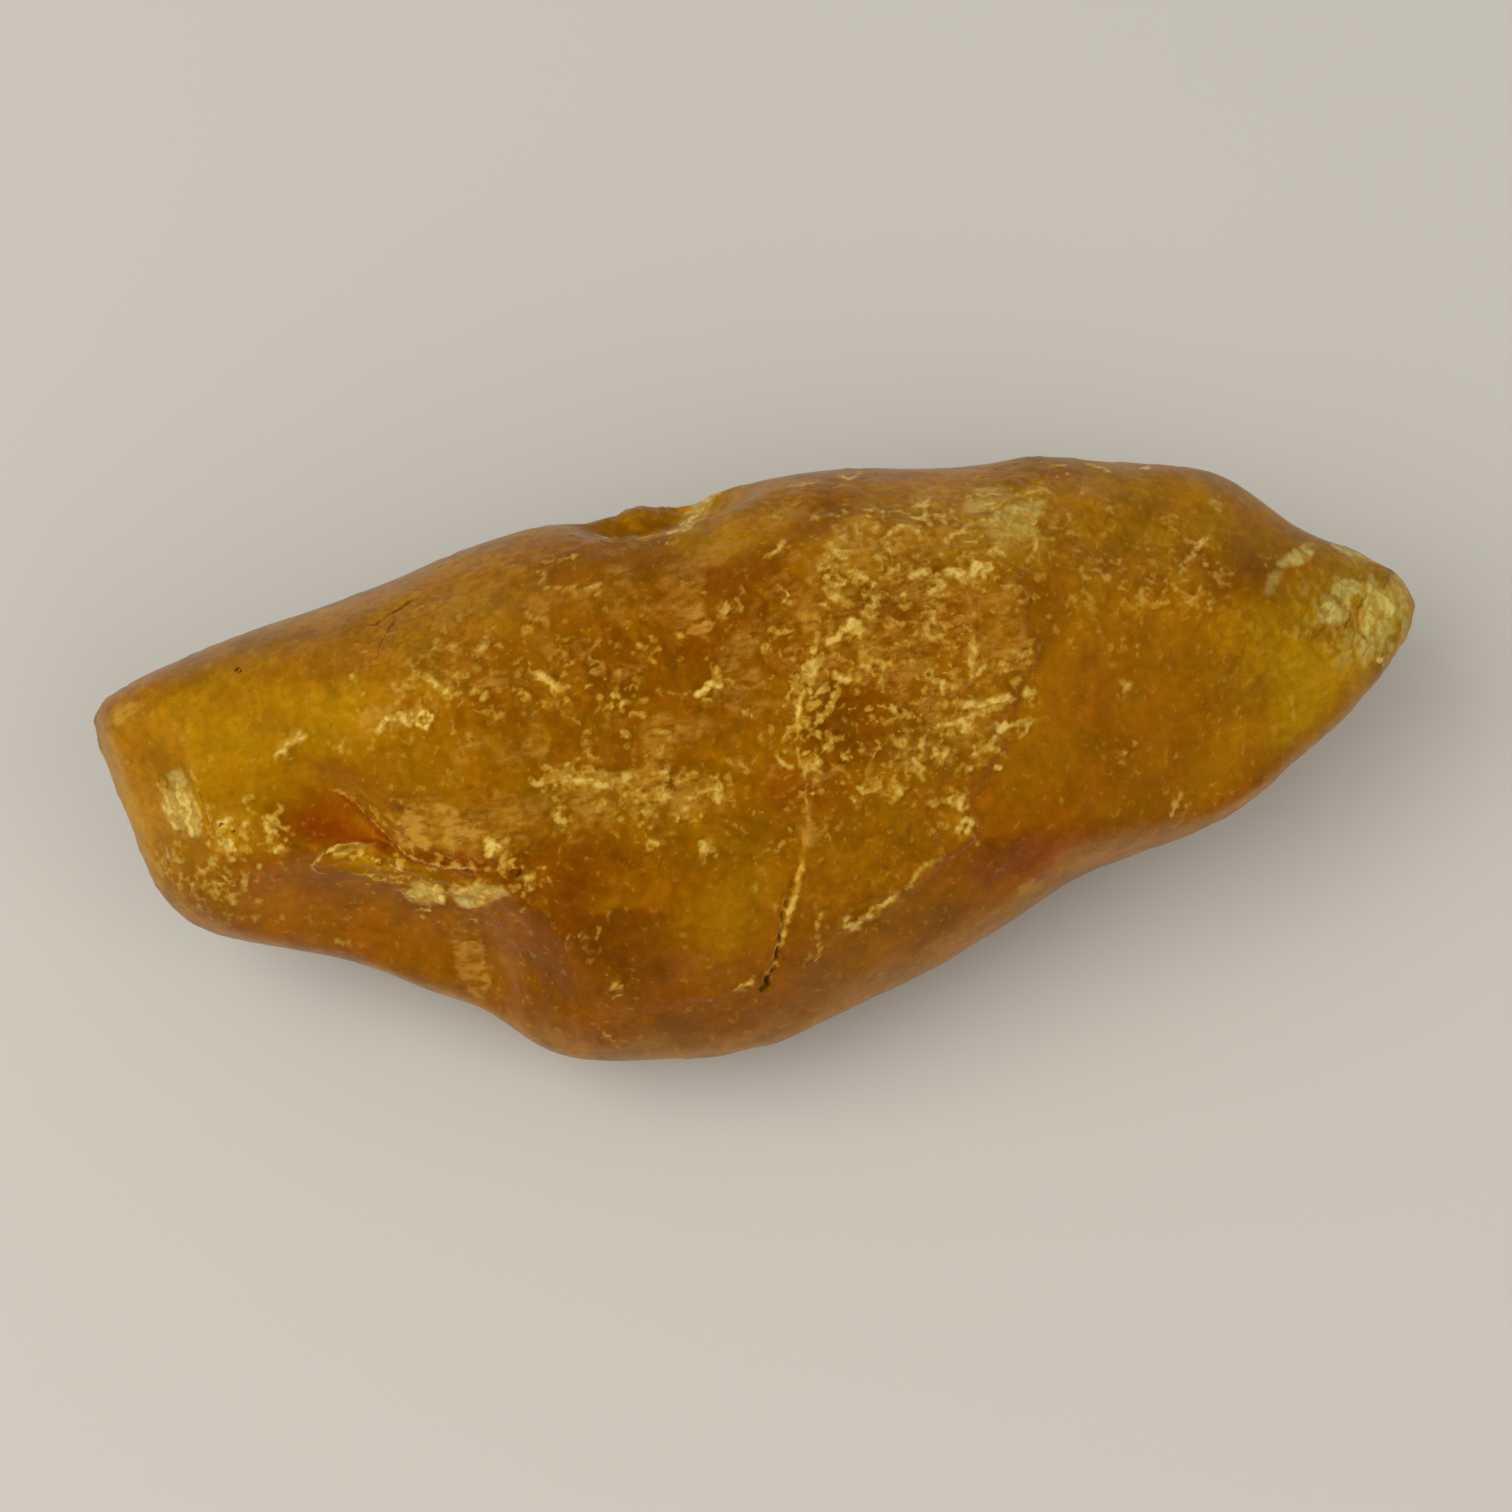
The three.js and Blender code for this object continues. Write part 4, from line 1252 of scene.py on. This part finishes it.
# %% Flecks and dust
CREAM = (*linear((0.98, 0.88, 0.5)), 1)
TAN = (*linear((0.80, 0.62, 0.21)), 1)
worms = cloud(tree, place, 1.0, 2.0, 0.6)
off_middle = reckon(tree, "ABSOLUTE", reckon(tree, "SUBTRACT", worms, 0.5), 0.0)
worm_line = ramp(tree, off_middle, 0.07, 0.02)
crumble = cloud(tree, place, 0.38, 2.0, 0.6)
dust_value = reckon(tree, "MULTIPLY", layer_of(tree, "dust").outputs["Fac"], worm_line)
dust_value = reckon(tree, "MULTIPLY", dust_value, ramp(tree, fine_grain, 0.46, 0.6))
fleck_value = reckon(tree, "MAXIMUM", layer_of(tree, "flecks").outputs["Fac"], dust_value)
holes = reckon(tree, "MULTIPLY", ramp(tree, crumble, 0.62, 0.38), 0.4)
fleck_value = reckon(tree, "SUBTRACT", fleck_value, holes)
fleck_colour = mix_colours(tree, ramp(tree, fleck_value, 0.35, 1.0), TAN, CREAM)
colour = mix_colours(tree, ramp(tree, fleck_value, 0.0, 0.5), colour, fleck_colour)
print("flecks go from", [round(c, 3) for c in TAN[:3]], "to", [round(c, 3) for c in CREAM[:3]])

# %% [markdown]
# The dark lines come last, because a crack is dark whatever it cuts through.

# %% Dark cracks
DARK = (*linear((0.2, 0.1, 0.01)), 1)
crack_share = ramp(tree, layer_of(tree, "cracks").outputs["Fac"], 0.2, 0.8)
colour = mix_colours(tree, crack_share, colour, DARK)
tree.links.new(colour, shader.inputs["Base Color"])
print("colour nodes:", len(tree.nodes))

# %% [markdown]
# Worn resin is waxy, neither polished nor dull, and the film makes it duller. Bump adds the finest relief,
# which is too small for the mesh. A roughness below a quarter would let single bright points of light
# through the rough glass and leave grainy spots.

# %% Gloss and fine relief
WAXY = 0.27
FINE_RELIEF = 0.03
gloss = reckon(tree, "ADD", WAXY, reckon(tree, "MULTIPLY", film_share, 0.25))
gloss = reckon(tree, "ADD", gloss, reckon(tree, "MULTIPLY", fine_grain, 0.1))
tree.links.new(gloss, shader.inputs["Roughness"])
small = reckon(tree, "MULTIPLY", crumble, 0.3)
height = reckon(tree, "ADD", reckon(tree, "MULTIPLY", fine_grain, 0.7), small)
relief = add(tree, "ShaderNodeBump", None, Strength=1.0, Distance=FINE_RELIEF * MM, Height=height)
tree.links.new(relief.outputs["Normal"], shader.inputs["Normal"])
print("roughness from", WAXY, "up, relief of", FINE_RELIEF, "mm")

# %% [markdown]
# What makes it amber is how light goes through. Half of the shader is glass that bends light as resin does,
# with an index of 1.54, and a volume that takes blue out first and green more slowly, so thick resin is
# redder. The other half lets light wander 3 mm under the skin in red and much less in green and blue.

# %% Glass and glow
GLASS_SHARE = 0.5
BENDING = 1.54
WANDER = (3.0, 1.2, 0.2)
shader.subsurface_method = "BURLEY"
for name, value in (
    ("IOR", BENDING),
    ("Transmission Weight", GLASS_SHARE),
    ("Specular IOR Level", 0.2),
    ("Specular Tint", (1.0, 0.62, 0.0, 1)),
    ("Subsurface Weight", 1.0),
    ("Subsurface Radius", WANDER),
    ("Subsurface Scale", MM),
):
    shader.inputs[name].default_value = value
depth = add(tree, "ShaderNodeVolumeAbsorption", None, Color=(0.9875, 0.93, 0.0, 1), Density=400.0)
tree.links.new(depth.outputs["Volume"], tree.nodes["Material Output"].inputs["Volume"])
nugget.data.materials.clear()
nugget.data.materials.append(amber)
print("amber finish:", len(tree.nodes), "nodes")

# %% [markdown]
# ## What is sealed in the resin
# A few crumbs of bark and soil sank into the resin while it was still sticky. Each is a small rough grain
# that lies just under the skin, so that it shows as a soft dark dot that moves a little when the nugget is
# turned. A dot painted on the skin would stay where it is.

# %% Crumbs under the skin
UNDER_SKIN = 0.06
LUMPINESS = 0.35
CRUMBS = (
    # along, across, radius
    (-22.65, 7.28, 0.13),
    (-24.65, 0.33, 0.14),
    (-24.1, -0.1, 0.12),
    (8.95, 1.48, 0.14),
    (-11.4, -4.3, 0.15),
    (-1.0, -11.3, 0.16),
    (-18.8, 3.97, 0.1),
    (14.9, 2.6, 0.1),
    (-9.6, 6.9, 0.1),
    (20.6, -2.2, 0.11),
)
skin_now = Skin(nugget)
made = []
for along, across, radius in CRUMBS:
    index = flat_finder.find((along, across, 0))[1]
    centre = Vector(skin_now.places[index]) - (radius + UNDER_SKIN) * Vector(skin_now.normals[index])
    bpy.ops.object.select_all(action="DESELECT")
    bpy.ops.mesh.primitive_ico_sphere_add(subdivisions=3, radius=radius * MM)
    crumb = bpy.context.active_object
    for vertex in crumb.data.vertices:
        bump = noise.noise(vertex.co / (radius * MM) * 1.3 + centre)
        vertex.co *= 1 + LUMPINESS * bump
        vertex.co += centre * MM
    made.append(crumb)
print(len(made), "crumbs made")

# %% [markdown]
# The crumbs are joined, because they are one thing to handle: what is sealed in. Their finish is dark bark
# with a fine grain, dull all over.

# %% Join the crumbs and finish them
BARK_DARK = (0.006, 0.003, 0.001, 1)
BARK_BROWN = (0.05, 0.022, 0.006, 1)
for crumb in made:
    crumb.select_set(True)
bpy.context.view_layer.objects.active = made[0]
bpy.ops.object.join()
crumbs = bpy.context.active_object
crumbs.name = "sealed_crumbs"
bark = bpy.data.materials.new("dark bark")
bark.use_nodes = True
bark_tree = bark.node_tree
bark_shader = bark_tree.nodes["Principled BSDF"]
bark_place = add(bark_tree, "ShaderNodeTexCoord").outputs["Object"]
bark_grain = ramp(bark_tree, cloud(bark_tree, bark_place, 0.06, 2.0), 0.35, 0.65)
bark_colour = mix_colours(bark_tree, bark_grain, BARK_DARK, BARK_BROWN)
bark_tree.links.new(bark_colour, bark_shader.inputs["Base Color"])
bark_shader.inputs["Roughness"].default_value = 0.9
crumbs.data.materials.append(bark)
bpy.ops.object.shade_smooth()
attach(crumbs, "root")
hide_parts("amber_nugget")
print("sealed crumbs:", len(crumbs.data.polygons), "triangles")

# %% [markdown]
# ## Table and lamps
# The nugget lies on a plain pale table. The table is a hair lower than the flat, because two faces in the
# same place flicker.

# %% The table
TABLE_SIZE = 4
TABLE_GAP = 0.05
bpy.ops.object.select_all(action="DESELECT")
bpy.ops.mesh.primitive_plane_add(size=TABLE_SIZE, location=(0, 0, -TABLE_GAP * MM))
table = bpy.context.active_object
table.name = "table"
paper = bpy.data.materials.new("pale table")
paper.use_nodes = True
paper_shader = paper.node_tree.nodes["Principled BSDF"]
paper_shader.inputs["Base Color"].default_value = (0.50, 0.495, 0.48, 1)
paper_shader.inputs["Roughness"].default_value = 0.85
paper_shader.inputs["Specular IOR Level"].default_value = 0.2
table.data.materials.append(paper)
print("table:", TABLE_SIZE, "m wide")

# %% [markdown]
# A large soft lamp on the left models the relief, a weaker one on the right opens the shadows, and a dim
# warm sky fills what is left. Large lamps close by are soft, as the windows of a studio are. All are a
# little warm, because a cold light turns the resin's steep sides grey.

# %% Lamps and sky
WARM = (1.0, 0.95, 0.86)


def lamp(name, turn, rise, distance, size, power):
    """A square lamp that faces the nugget. Turn and rise are in degrees, distance and size in metres."""
    turn, rise = math.radians(turn), math.radians(rise)
    way = Vector((math.sin(turn) * math.cos(rise), -math.cos(turn) * math.cos(rise), math.sin(rise)))
    facing = way.to_track_quat("Z", "Y").to_euler()
    bpy.ops.object.light_add(type="AREA", location=way * distance, rotation=facing)
    light = bpy.context.active_object
    light.name = name
    light.data.size = size
    light.data.energy = power
    light.data.color = WARM


lamp("key lamp", turn=-80, rise=48, distance=0.5, size=0.5, power=2.3)
lamp("fill lamp", turn=30, rise=42, distance=0.6, size=0.5, power=1.35)
world = bpy.data.worlds.new("studio")
bpy.context.scene.world = world
world.use_nodes = True
sky = world.node_tree.nodes["Background"]
sky.inputs["Color"].default_value = (1.0, 0.95, 0.84, 1)
sky.inputs["Strength"].default_value = 0.48
bpy.context.scene.view_settings.view_transform = "Standard"

# %% [markdown]
# ## Attach the nugget
# The nugget rides on the root body, and the CAD solid is hidden.

# %% Attach the nugget and hide the solid
work_on(nugget)
bpy.ops.object.shade_smooth()
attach(nugget, "root")
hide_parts("amber_nugget")
print("nugget:", len(nugget.data.polygons), "faces")

# %% [markdown]

# %% The end
print("done")
